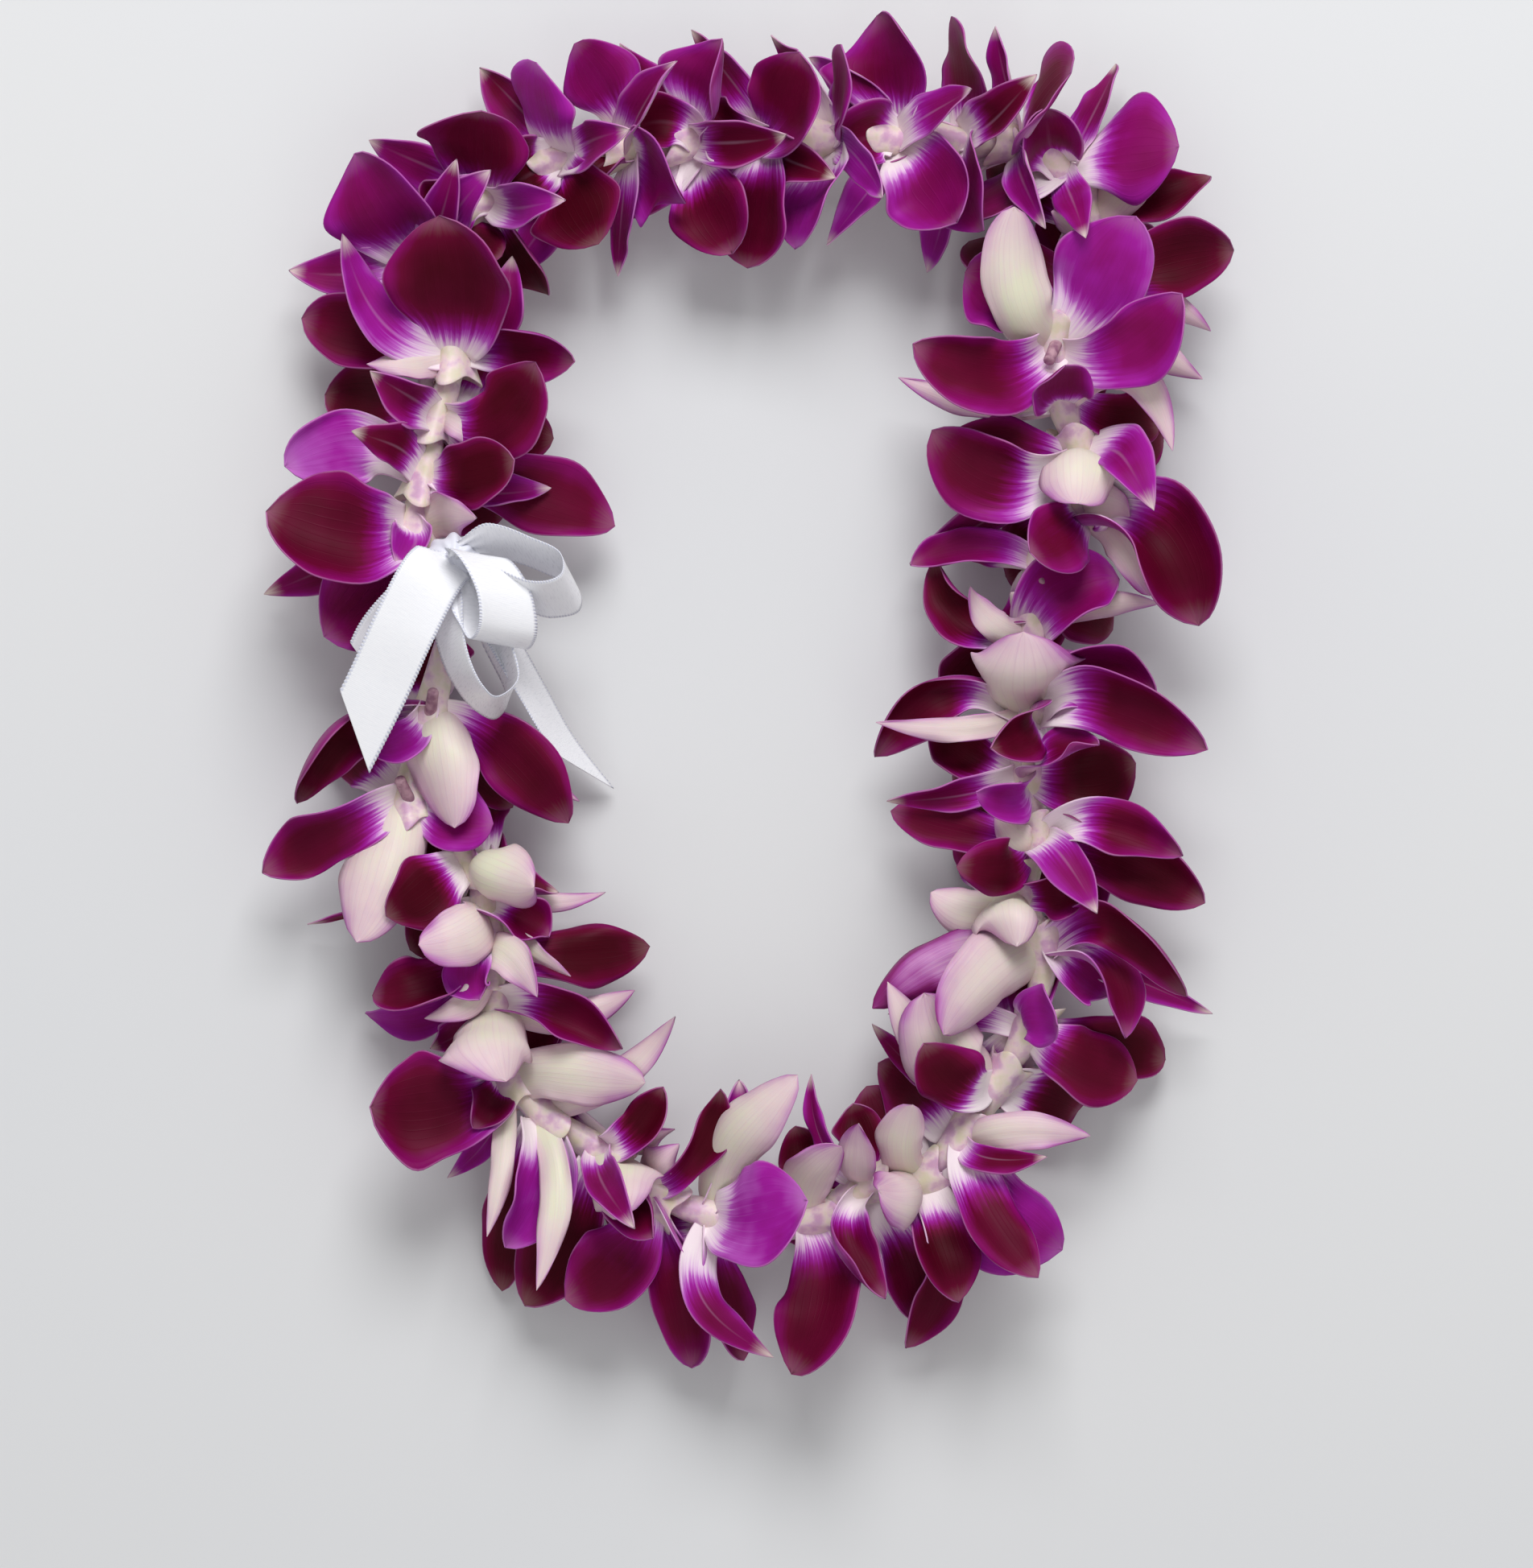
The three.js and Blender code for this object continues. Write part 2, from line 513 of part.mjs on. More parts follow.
function outlineShape(kind, u) {
  const root = kind.claw * (1 - u) ** CLAW_FALL;
  return root + (1 - root) * Math.max(0, Math.sin(Math.PI * u ** kind.peak)) ** kind.full;
}

// Height with the table in mind: what would sink below the level is pressed softly onto it.
function pressed(height, level) {
  return level + FLOOR_SOFTNESS * Math.log(1 + Math.exp((height - level) / FLOOR_SOFTNESS));
}

// A tepal's middle surface at (u, v), and the direction that its inner face looks in.
function bladeSurface(blade, u, v) {
  const chord = blade.tip.clone().sub(blade.root);
  const along = chord.clone().normalize();
  const side = new THREE.Vector3().crossVectors(UP, along).normalize();
  const over = new THREE.Vector3().crossVectors(along, side);
  const bend = over.clone().multiplyScalar(blade.arch).addScaledVector(side, blade.sway);
  const wholeTurn = 2 * Math.PI * u;
  const point = blade.root.clone().addScaledVector(chord, u).addScaledVector(bend, archShape(u));
  point.addScaledVector(over, blade.bow * Math.sin(wholeTurn) + blade.flick * u ** 4);
  const tangent = chord.clone().addScaledVector(bend, archSlope(u));
  const lean = blade.bow * 2 * Math.PI * Math.cos(wholeTurn) + 4 * blade.flick * u ** 3;
  tangent.addScaledVector(over, lean).normalize();
  const turn = toRadians(blade.turn + blade.twist * u);
  const face = over.clone().multiplyScalar(Math.cos(turn)).addScaledVector(side, Math.sin(turn));
  face.addScaledVector(tangent, -tangent.dot(face)).normalize();
  const across = new THREE.Vector3().crossVectors(tangent, face);
  const half = 0.5 * blade.width * outlineShape(blade.kind, u) * (1 + blade.skew * v);
  const ripple = Math.sin(RIPPLE_TURNS * wholeTurn + blade.phase + RIPPLE_LAG * v) * Math.sin(Math.PI * u);
  const fold = toRadians(blade.folds[v < 0 ? 0 : 1]) * Math.abs(v) * (FOLD_AT_ROOT - FOLD_EASING * u);
  point.addScaledVector(across, half * v * Math.cos(fold));
  point.addScaledVector(face, half * Math.abs(v) * Math.sin(fold) + blade.kind.wave * ripple * v * v);
  point.z = pressed(point.z, blade.level);
  return { point, face };
}

function bladeThickness(u, v) {
  return BLADE_THICKNESS * (1 - v * v) * Math.min(1, u / THIN_ROOT, (1 - u) / THIN_TIP);
}

function bladeSolid(blade, start) {
  const rings = BLADE_RINGS[blade.kind.rings].filter((u) => u > start);
  return slab(2, [start, ...rings], (u, v, side) => {
    const { point, face } = bladeSurface(blade, u, v);
    return point.addScaledVector(face, 0.5 * side * bladeThickness(u, v));
  });
}

// Ways to ease a tepal that would cross its neighbours, from none to much: swung round, lifted, shortened.
function easeList() {
  const eases = [];
  for (const shrink of [1, 0.88, 0.76, 0.62]) {
    for (const swing of [0, 7, -7, 14, -14, 22, -22, 32, -32]) {
      for (const lift of [0, 4, -4, 8, -8, 12, -12, 17, 22]) {
        const effort = Math.abs(swing) * SWING_COST + Math.abs(lift) * LIFT_COST + (1 - shrink) * SHRINK_COST;
        eases.push({ shrink, swing, lift, effort });
      }
    }
  }
  return eases.sort((one, other) => one.effort - other.effort);
}

function eased(blade, ease) {
  const reach = blade.tip.clone().sub(blade.root);
  reach.applyAxisAngle(UP, toRadians(ease.swing)).multiplyScalar(ease.shrink);
  reach.z += ease.lift;
  const tip = blade.root.clone().add(reach);
  tip.z = Math.max(tip.z, blade.level);
  return { ...blade, tip, width: blade.width * (WIDTH_KEPT + (1 - WIDTH_KEPT) * ease.shrink) };
}

// Blooms

function bladeOf(bloom, row, count, level) {
  const [name, bearing, rise, reach, turn, arch, sway, width] = row;
  const kind = KINDS[name];
  const direction = heading(bearing, rise);
  const outward = direction.clone();
  outward.addScaledVector(bloom.along, -ROOT_TURNED_OUT * bloom.along.dot(direction)).normalize();
  const folds = [11, 21].map((salt) => kind.fold + kind.uneven * (2 * draw(bloom.number, count + salt) - 1));
  const shown = Math.cos(toRadians(kind.fold));
  return {
    kind,
    root: bloom.point.clone().addScaledVector(outward, ROOT_DISTANCE),
    tip: bloom.point.clone().addScaledVector(direction, reach),
    width: (WIDTH_MARGIN * width) / shown,
    folds,
    turn,
    twist: TWIST_SPREAD * (draw(bloom.number, count + 31) - 0.5),
    bow: BOW_SPREAD * (draw(bloom.number, count + 41) - 0.5),
    flick: FLICK_SPREAD * (draw(bloom.number, count + 131) - 0.5),
    arch,
    sway: sway + SWAY_SPREAD * (draw(bloom.number, count + 151) - 0.5),
    skew: SKEW_SPREAD * (draw(bloom.number, count + 141) - 0.5),
    phase: 2 * Math.PI * draw(bloom.number, count + 51),
    level,
  };
}

function usualWidth(bloom, name, salt) {
  return KINDS[name].width * (WIDTH_LEAST + WIDTH_SPREAD * draw(bloom.number, salt));
}

// One direction turned toward another, square to it, by an angle in radians.
function turned(from, toward, angle) {
  return from.clone().multiplyScalar(Math.cos(angle)).addScaledVector(toward, Math.sin(angle));
}

// Tepals of a bloom on the closing arch: five in a star round the axis, and the lip below. The star is spun
// by up to half of ARCH_STAR.spin, and its axis leans up from the thread.
function archRows(bloom) {
  const star = ARCH_STAR;
  const spin = star.spin * (draw(bloom.number, 1) - 0.5);
  const lean = toRadians(star.leanLeast + star.leanSpread * draw(bloom.number, 9));
  const axis = turned(bloom.along, bloom.over, lean);
  const back = turned(bloom.over, bloom.along, -lean);
  const plan = [['sepal', 0], ['petal', 64], ['petal', -64], ['sepal', 138], ['sepal', -138], ['lip', 180]];
  return plan.map(([name, azimuth], place) => {
    const around = toRadians(azimuth + spin + star.uneven * (draw(bloom.number, place + 2) - 0.5));
    const spread = star.openLeast + star.openSpread * draw(bloom.number, place + 12);
    const open = toRadians(name === 'lip' ? star.lipOpen : spread);
    const radial = turned(back, bloom.side, around);
    const direction = turned(axis, radial, open);
    const inner = turned(radial, axis, -open).negate();
    const side = new THREE.Vector3().crossVectors(UP, direction).normalize();
    const over = new THREE.Vector3().crossVectors(direction, side);
    const bearing = THREE.MathUtils.radToDeg(Math.atan2(direction.y, direction.x));
    const rise = THREE.MathUtils.radToDeg(Math.asin(direction.z));
    const turn = THREE.MathUtils.radToDeg(Math.atan2(inner.dot(side), inner.dot(over)));
    const longReach = star.reachLeast + star.reachSpread * draw(bloom.number, place + 22);
    const reach = name === 'lip' ? star.lipReach : longReach;
    const steady = THREE.MathUtils.clamp(rise, star.riseLeast, star.riseMost);
    return [name, bearing, steady, reach, turn, star.arch, 0, usualWidth(bloom, name, place + 101)];
  });
}

// Tepals that the neighbours above hide: laid low, each in the widest gap that is left between the others.
function lowRows(bloom, rows) {
  const bearings = rows.filter(([, , rise]) => rise < LOW.under).map(([, bearing]) => bearing % 360);
  if (bearings.length === 0) {
    bearings.push(0);
  }
  const low = [];
  const wanted = Math.max(TEPALS_PER_BLOOM - rows.length, bloom.level === REST_LEVEL ? 1 : 0);
  for (let place = 0; place < wanted; place += 1) {
    bearings.sort((one, other) => one - other);
    let widest = 0;
    let middle = 0;
    bearings.forEach((bearing, index) => {
      const next = index + 1 < bearings.length ? bearings[index + 1] : bearings[0] + 360;
      if (next - bearing > widest) {
        widest = next - bearing;
        middle = bearing + widest / 2;
      }
    });
    if (bloom.level === REST_LEVEL && place === 0) {
      low.push(['petal', middle % 360, RESTING.rise, RESTING.reach, 0, RESTING.arch, 0, KINDS.petal.width]);
    } else {
      const turn = LOW.turnSpread * (draw(bloom.number, place + 71) - 0.5);
      const reach = LOW.reachLeast + LOW.reachSpread * draw(bloom.number, place + 81);
      const width = usualWidth(bloom, 'under', place + 111);
      low.push(['under', middle % 360, LOW.rise, reach, turn, LOW.arch, 0, width]);
    }
    bearings.push(middle % 360);
  }
  return low;
}

for (const bloom of bloomList) {
  bloom.name = `bloom_${String(bloom.number).padStart(2, '0')}`;
  bloom.level = bloom.number % REST_EVERY === 0 ? REST_LEVEL : FLOOR_LEVEL;
  bloom.rows = bloom.rows ?? archRows(bloom);
  bloom.low = lowRows(bloom, bloom.rows);
}

// The short tube and ovary in the middle of a bloom, which the needle went through.
function coreSolid(bloom) {
  const profile = [
    [NEEDLE_HOLE_RADIUS, -CORE_HALF_LENGTH],
    [CORE_BACK_RADIUS, -CORE_HALF_LENGTH],
    [CORE_RADIUS, CORE_HALF_LENGTH],
    [NEEDLE_HOLE_RADIUS, CORE_HALF_LENGTH],
    [NEEDLE_HOLE_RADIUS, -CORE_HALF_LENGTH],
  ];
  const points = profile.map(([radius, height]) => new THREE.Vector2(radius, height));
  return solidOf(alignTo(new THREE.LatheGeometry(points, CORE_SIDES), bloom.along, bloom.point));
}

// The cut end of the bloom's own stalk, pointing back and up.
function stubSolid(bloom) {
  const lean = STUB_SIDEWAYS * (draw(bloom.number, 91) - 0.5);
  const direction = bloom.along.clone().multiplyScalar(-STUB_BACKWARD);
  direction.addScaledVector(bloom.over, STUB_UPWARD);
  direction.addScaledVector(bloom.side, lean).normalize();
  const stub = new THREE.CylinderGeometry(STUB_TIP_RADIUS, STUB_BASE_RADIUS, STUB_LENGTH, STUB_SIDES);
  const foot = bloom.point.clone().addScaledVector(bloom.over, STUB_LIFT);
  const middle = foot.addScaledVector(direction, STUB_SHIFT);
  return solidOf(alignTo(stub, direction, middle));
}

// Ribbon

// How wide the ribbon lies at a share of a run: gathered where it leaves the knot. A tail is cut aslant.
function gathered(u, closed) {
  const out = Math.min(1, u / GATHERED_UNTIL);
  const back = closed ? Math.min(1, (1 - u) / GATHERED_UNTIL) : 1;
  const spread = out * back;
  return GATHERED_SHARE + (1 - GATHERED_SHARE) * spread * spread * (3 - 2 * spread);
}

function ribbonRun(rows, closed) {
  const middle = new THREE.CatmullRomCurve3(rows.map(([x, y, z]) => new THREE.Vector3(x, y, z)));
  const width = new THREE.CatmullRomCurve3(rows.map(([, , , bearing, rise]) => heading(bearing, rise)));
  const rings = [];
  const count = 2 * (rows.length - 1);
  for (let ring = 0; ring <= count; ring += 1) {
    rings.push(ring / count);
  }
  return slab(1, rings, (u, v, side) => {
    const far = closed ? u : u * (1 - 0.5 * TAIL_CUT * (1 + v));
    const across = width.getPoint(far).normalize();
    const face = new THREE.Vector3().crossVectors(across, middle.getTangent(far)).normalize();
    const point = middle.getPoint(far).addScaledVector(across, 0.5 * RIBBON_WIDTH * gathered(u, closed) * v);
    return point.addScaledVector(face, 0.5 * side * RIBBON_THICKNESS);
  });
}

// The ribbon goes round the thread in a narrow band, and its knot stands over the band.
function knotBand() {
  const band = new THREE.TorusGeometry(1, 0.1, BAND_SIDES, BAND_RINGS);
  const position = band.getAttribute('position');
  const rise = KNOT_CENTRE.clone().sub(knotSeat.point);
  const centre = knotSeat.point.clone().addScaledVector(rise, BAND_PLACE);
  const halfHeight = rise.length() / 2 + BAND_MARGIN;
  const over = rise.clone().normalize();
  const side = new THREE.Vector3().crossVectors(over, knotSeat.along).normalize();
  const along = new THREE.Vector3().crossVectors(side, over);
  for (let index = 0; index < position.count; index += 1) {
    const turn = (2 * Math.PI * (index % (BAND_RINGS + 1))) / BAND_RINGS;
    const edge = Math.floor(index / (BAND_RINGS + 1)) % BAND_SIDES;
    const corner = (2 * Math.PI * (edge + 0.5)) / BAND_SIDES;
    const point = centre.clone();
    point.addScaledVector(over, (halfHeight + Math.cos(corner)) * Math.cos(turn));
    point.addScaledVector(side, (BAND_HALF_WIDTH + Math.cos(corner)) * Math.sin(turn));
    point.addScaledVector(along, BAND_HALF_LENGTH * Math.sin(corner));
    position.setXYZ(index, point.x, point.y, point.z);
  }
  return solidOf(band);
}

function ribbonSolid() {
  const knot = new THREE.SphereGeometry(KNOT_RADIUS, KNOT_SIDES, KNOT_RINGS);
  knot.scale(1, KNOT_FLATTENED, KNOT_FLATTENED);
  knot.translate(...KNOT_CENTRE);
  const runs = Object.entries(RIBBON_RUNS).map(([name, rows]) => ribbonRun(rows, name.endsWith('Loop')));
  return join([solidOf(knot), knotBand(), ...runs]);
}

// Putting together

const placed = [];

function keep(owner, solid, more) {
  const { min, max } = solid.boundingBox();
  placed.push({ owner, solid, min, max, ...more });
}

function boxesTouch(min, max, other) {
  return [0, 1, 2].every((axis) => (
    min[axis] - CLEARANCE < other.max[axis] && max[axis] + CLEARANCE > other.min[axis]
  ));
}

// Clear of every other bloom, of the ribbon and the thread, and of its own bloom beyond the root.
function isClear(bloom, solid, free) {
  const { min, max } = solid.boundingBox();
  return placed.every((other) => {
    if (!boxesTouch(min, max, other)) {
      return true;
    }
    if (other.owner === bloom.name) {
      return !other.free || free.minGap(other.free, OWN_CLEARANCE) >= OWN_CLEARANCE;
    }
    return solid.minGap(other.solid, CLEARANCE) >= CLEARANCE;
  });
}

const ribbon = largestBody(ribbonSolid());
keep('ribbon_bow', ribbon);
for (const solid of threadLengths()) {
  keep('lei_thread', solid);
}
for (const bloom of bloomList) {
  bloom.parts = [coreSolid(bloom)];
  if (STUB_BLOOMS.includes(bloom.number)) {
    bloom.parts.push(stubSolid(bloom));
  }
  for (const part of bloom.parts) {
    keep(bloom.name, part);
  }
}

// Every tepal finds its place in turn: the highest of the hand-placed ones first, the low ones last.
const eases = easeList();
const queue = [];
for (const bloom of bloomList) {
  bloom.rows.forEach((row, count) => {
    const blade = bladeOf(bloom, row, count, FLOOR_LEVEL);
    queue.push({ bloom, blade, order: -blade.tip.z });
  });
  bloom.low.forEach((row, count) => {
    const blade = bladeOf(bloom, row, count + bloom.rows.length, bloom.level);
    queue.push({ bloom, blade, order: bloom.level === REST_LEVEL ? FIRST_OF_ALL : LAST_OF_ALL });
  });
}
queue.sort((one, other) => one.order - other.order);
for (const { bloom, blade } of queue) {
  for (const ease of eases) {
    const shape = eased(blade, ease);
    const solid = bladeSolid(shape, 0);
    const free = bladeSolid(shape, ROOT_SHARE);
    if (isClear(bloom, solid, free)) {
      keep(bloom.name, solid, { free });
      bloom.parts.push(solid);
      break;
    }
    solid.delete();
    free.delete();
  }
}

// What would reach below the table is cut off flat.
const table = new THREE.BoxGeometry(TABLE_SIZE, TABLE_SIZE, TABLE_DEPTH);
table.translate(0, 0, -TABLE_DEPTH / 2);
const underTable = solidOf(table);

function material(color, roughness) {
  return new THREE.MeshStandardMaterial({ color, roughness, metalness: 0 });
}

const group = new THREE.Group();
group.position.set(-CENTRE.x, -CENTRE.y, 0);

function add(name, solid, color, roughness) {
  const mesh = new THREE.Mesh(geometryOf(solid), material(color, roughness));
  mesh.name = name;
  group.add(mesh);
}

add('lei_thread', loopTube(THREAD_RADIUS), '#efe9dc', 0.8);
add('ribbon_bow', ribbon, '#f2f0f4', 0.35);
for (const bloom of bloomList) {
  const whole = largestBody(join(bloom.parts).subtract(underTable));
  add(bloom.name, whole, '#8c1466', 0.55);
}

export default group;
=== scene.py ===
import math

import bmesh
import bpy
from mathutils import Matrix, Quaternion, Vector
from mathutils.kdtree import KDTree


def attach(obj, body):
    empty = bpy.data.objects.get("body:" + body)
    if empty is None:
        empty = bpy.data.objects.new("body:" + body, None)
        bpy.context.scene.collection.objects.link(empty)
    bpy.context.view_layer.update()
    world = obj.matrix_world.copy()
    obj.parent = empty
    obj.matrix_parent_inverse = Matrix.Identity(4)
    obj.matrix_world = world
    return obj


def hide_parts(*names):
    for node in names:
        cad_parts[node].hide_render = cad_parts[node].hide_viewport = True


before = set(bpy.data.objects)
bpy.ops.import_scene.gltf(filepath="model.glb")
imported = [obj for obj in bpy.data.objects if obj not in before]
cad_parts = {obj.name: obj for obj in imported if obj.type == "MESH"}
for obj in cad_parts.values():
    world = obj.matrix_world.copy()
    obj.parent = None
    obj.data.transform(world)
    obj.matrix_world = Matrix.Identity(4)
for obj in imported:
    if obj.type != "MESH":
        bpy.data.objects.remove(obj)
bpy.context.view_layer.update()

# Viewpoint
# The lei lies on its back on a table, so the camera looks straight down on it, from 2 m above the upper
# petals. The picture is 1948 pixels high and takes in 467.5 mm at that height.
SEEN_HEIGHT = 0.4675
LOOK_AT = (0.0057, -0.0269)
UPPER_PETALS = 0.025
CAMERA_DISTANCE = 2.0
SENSOR_MM = 36.0

camera_data = bpy.data.cameras.new("camera")
camera_data.sensor_width = SENSOR_MM
camera_data.lens = SENSOR_MM * CAMERA_DISTANCE / SEEN_HEIGHT
camera = bpy.data.objects.new("camera", camera_data)
camera.location = (LOOK_AT[0], LOOK_AT[1], UPPER_PETALS + CAMERA_DISTANCE)
bpy.context.scene.collection.objects.link(camera)
bpy.context.scene.camera = camera
bpy.context.scene.view_settings.view_transform = "Standard"

# Satin ribbon
# A length of white double-faced satin, 19 mm wide with tiny stitched picots along both edges. It is tied
# round the bare thread in a bow with three short loops, and its two cut ends hang free.
MM = 0.001
# The loop was drawn round its own middle, and this moves it onto the middle of the frame.
TO_FRAME = Vector((-0.33, -1.43, 0))
RIBBON_WIDTH = 19.0
SATIN_THICKNESS = 0.28
RINGS_PER_MM = 4
UV_PER_MM = 0.01
PICOT_PITCH = 1.0
PICOT_HEIGHT = 0.13
WEFT_PITCH = 0.42
SELVEDGE_STARTS, SELVEDGE_FULL = 1.1, 0.7
PLEATS_ACROSS = 3.5
PLEAT_HEIGHT = 0.9
SWELL_HEIGHT = 0.35
GATHERED_SHARE = 0.3
GATHERED_UNTIL = 0.14
TAIL_CUT = 0.19

# Each run as (x, y, z, bearing, rise): a point on its middle, and the way its width points there. The tails
# are cut aslant, and their last row is where the longer edge ends.
RIBBON_RUNS = {
    "long_tail": [
        (-87, 42, 42, 150, 20), (-92, 37, 49, 152, 8), (-100, 22, 50, 153, 0), (-109, 3, 45, 153, -2),
        (-120, -18, 38, 153, -4),
    ],
    "back_tail": [
        (-87, 40, 37, 120, 40), (-98, 28, 38, 140, 24), (-107, 17, 34, 146, 14), (-113, 4, 28, 148, 10),
    ],
    "front_loop": [
        (-86, 42, 44, -8, -20), (-78, 42, 52, -9, -26), (-71, 31, 56, -10, -28), (-70, 20, 54, -10, -28),
        (-73, 16, 49, -10, -28), (-77, 22, 45, -10, -28), (-84, 38, 42, -8, -22),
    ],
    "side_loop": [
        (-86, 44, 41, -60, -46), (-73, 46, 42, -66, -53), (-61, 42, 43, -67, -53), (-52, 37, 45, -67, -53),
        (-52, 31, 48, -66, -53), (-60, 29, 48, -66, -53), (-71, 33, 45, -64, -50), (-84, 40, 41, -60, -46),
    ],
    "low_loop": [
        (-88, 38, 39, 205, -40), (-88, 23, 42, 212, -56), (-85, 10, 43, 218, -62), (-79, 0, 44, 235, -66),
        (-74, -3, 43, 255, -68), (-69, 2, 40, 240, -66), (-73, 15, 38, 225, -60), (-84, 37, 37, 210, -40),
    ],
    "short_tail": [
        (-84, 39, 35, 210, 40), (-77, 26, 33, 210, 60), (-71, 15, 30, 210, 65), (-63, 1, 26, 211, 66),
        (-55, -13, 20, 213, 66), (-43, -29, 13, 215, 66),
    ],
}


class Shade:
    """A node's output in a material, so that the shader is written as arithmetic."""

    def __init__(self, tree, socket=None):
        self.tree = tree
        self.socket = socket

    def node(self, kind, settings=None, inputs=None, output=0):
        """A node of that type: its settings are set first, then its inputs by name or number."""
        made = self.tree.nodes.new(kind)
        for name, value in (settings or {}).items():
            if name == "stops":
                ramp = made.color_ramp
                while len(ramp.elements) < len(value):
                    ramp.elements.new(0.5)
                for element, (place, tint) in zip(ramp.elements, value):
                    element.position = place
                    element.color = (*tint, 1.0)
            else:
                setattr(made, name, value)
        for name, value in (inputs or {}).items():
            put(made.inputs[name], value)
        return Shade(self.tree, made.outputs[output])

    def math(self, operation, first, second=0.0):
        return self.node("ShaderNodeMath", {"operation": operation}, {0: first, 1: second})

    def __add__(self, other):
        return self.math("ADD", self, other)

    def __sub__(self, other):
        return self.math("SUBTRACT", self, other)

    def __mul__(self, other):
        return self.math("MULTIPLY", self, other)

    def __radd__(self, other):
        return self.math("ADD", other, self)

    def __rsub__(self, other):
        return self.math("SUBTRACT", other, self)

    def __rmul__(self, other):
        return self.math("MULTIPLY", other, self)

    def __abs__(self):
        return self.math("ABSOLUTE", self)

    def sine(self):
        return self.math("SINE", self)

    def from_to(self, low, high):
        """0 at low, 1 at high, and smooth between them."""
        settings = {"interpolation_type": "SMOOTHSTEP"}
        return self.node("ShaderNodeMapRange", settings, {0: self, 1: low, 2: high, 3: 0.0, 4: 1.0})

    def tint(self, start, end):
        """The colour start where this is 0 and end where it is 1."""
        return self.node("ShaderNodeMix", {"data_type": "RGBA"}, {0: self, 6: start, 7: end}, output=2)

    def noise(self, scale, detail):
        """Clouds from 0 to 1 over the place that this holds."""
        return self.node("ShaderNodeTexNoise", None, {"Vector": self, "Scale": scale, "Detail": detail})

    def axis(self, number):
        """The x, y or z, for 0, 1 or 2, of the place that this holds."""
        return self.node("ShaderNodeSeparateXYZ", None, {0: self}, output=number)


def put(target, value):
    """Links a Shade to the socket, or sets the socket to a plain value."""
    if isinstance(value, Shade):
        value.tree.links.new(value.socket, target)
    elif isinstance(value, tuple) and target.type == "RGBA":
        target.default_value = (*value, 1.0)
    else:
        target.default_value = value


def add_relief(shader, strength, depth, height):
    """Relief that only the light shows. A height of 1 stands that depth, in metres, over a height of 0."""
    put(shader.inputs["Normal"], height.node(
        "ShaderNodeBump", None, {"Strength": strength, "Distance": depth, "Height": height},
    ))


def finish_of(name, constants):
    """A new material: the material, its shader node, and an empty Shade to build from."""
    material = bpy.data.materials.new(name)
    material.use_nodes = True
    shader = material.node_tree.nodes["Principled BSDF"]
    for socket, value in constants.items():
        shader.inputs[socket].default_value = value
    return material, shader, Shade(material.node_tree)


# A screen's colours follow a straight line up to this level out of 255, and a power above it.
STRAIGHT_UNTIL = 10
STRAIGHT_SCALE = 12.92 * 255
CURVE_SHIFT = 0.055
CURVE_POWER = 2.4


def hue(red, green, blue):
    """A colour as it is read on a screen, from 0 to 255, turned to linear light."""
    return tuple(
        ((part / 255 + CURVE_SHIFT) / (1 + CURVE_SHIFT)) ** CURVE_POWER if part > STRAIGHT_UNTIL
        else part / STRAIGHT_SCALE for part in (red, green, blue)
    )


def heading(bearing, rise):
    """The direction at a bearing from +x toward +y and a rise above the table, both in degrees."""
    flat = math.cos(math.radians(rise))
    return Vector((
        flat * math.cos(math.radians(bearing)), flat * math.sin(math.radians(bearing)),
        math.sin(math.radians(rise)),
    ))


class Route:
    """A smooth curve through points, with its knots spaced by the root of the distance between them."""

    NO_GAP = 1e-4
    NUDGE = 1e-4

    def __init__(self, points, closed=False):
        self.points = [Vector(point) for point in points]
        self.closed = closed

    def at(self, share):
        points, count = self.points, len(self.points)
        spot = (count if self.closed else count - 1) * share
        first = math.floor(spot)
        weight = spot - first
        if self.closed:
            before, start, end, after = (points[(first + step) % count] for step in (-1, 0, 1, 2))
        else:
            if first >= count - 1:
                first, weight = count - 2, 1.0
            start, end = points[first], points[first + 1]
            before = points[first - 1] if first > 0 else 2 * points[0] - points[1]
            after = points[first + 2] if first + 2 < count else 2 * points[-1] - points[-2]
        gaps = [math.sqrt((b - a).length) for a, b in ((before, start), (start, end), (end, after))]
        middle = gaps[1] if gaps[1] > self.NO_GAP else 1.0
        front = gaps[0] if gaps[0] > self.NO_GAP else middle
        back = gaps[2] if gaps[2] > self.NO_GAP else middle
        straight = (end - start) / middle
        leave = ((start - before) / front - (end - before) / (front + middle) + straight) * middle
        reach = (straight - (after - start) / (middle + back) + (after - end) / back) * middle
        return (
            start + leave * weight + (3 * (end - start) - 2 * leave - reach) * weight ** 2
            + (2 * (start - end) + leave + reach) * weight ** 3
        )

    def way(self, share):
        low, high = max(0.0, share - self.NUDGE), min(1.0, share + self.NUDGE)
        return (self.at(high) - self.at(low)).normalized()

    def length(self, steps):
        return sum((self.at((i + 1) / steps) - self.at(i / steps)).length for i in range(steps))


def spread(u, looped):
    """0 where the ribbon leaves the knot, 1 where it lies at its full width."""
    out = min(1.0, u / GATHERED_UNTIL)
    back = min(1.0, (1 - u) / GATHERED_UNTIL) if looped else 1.0
    share = out * back
    return share * share * (3 - 2 * share)


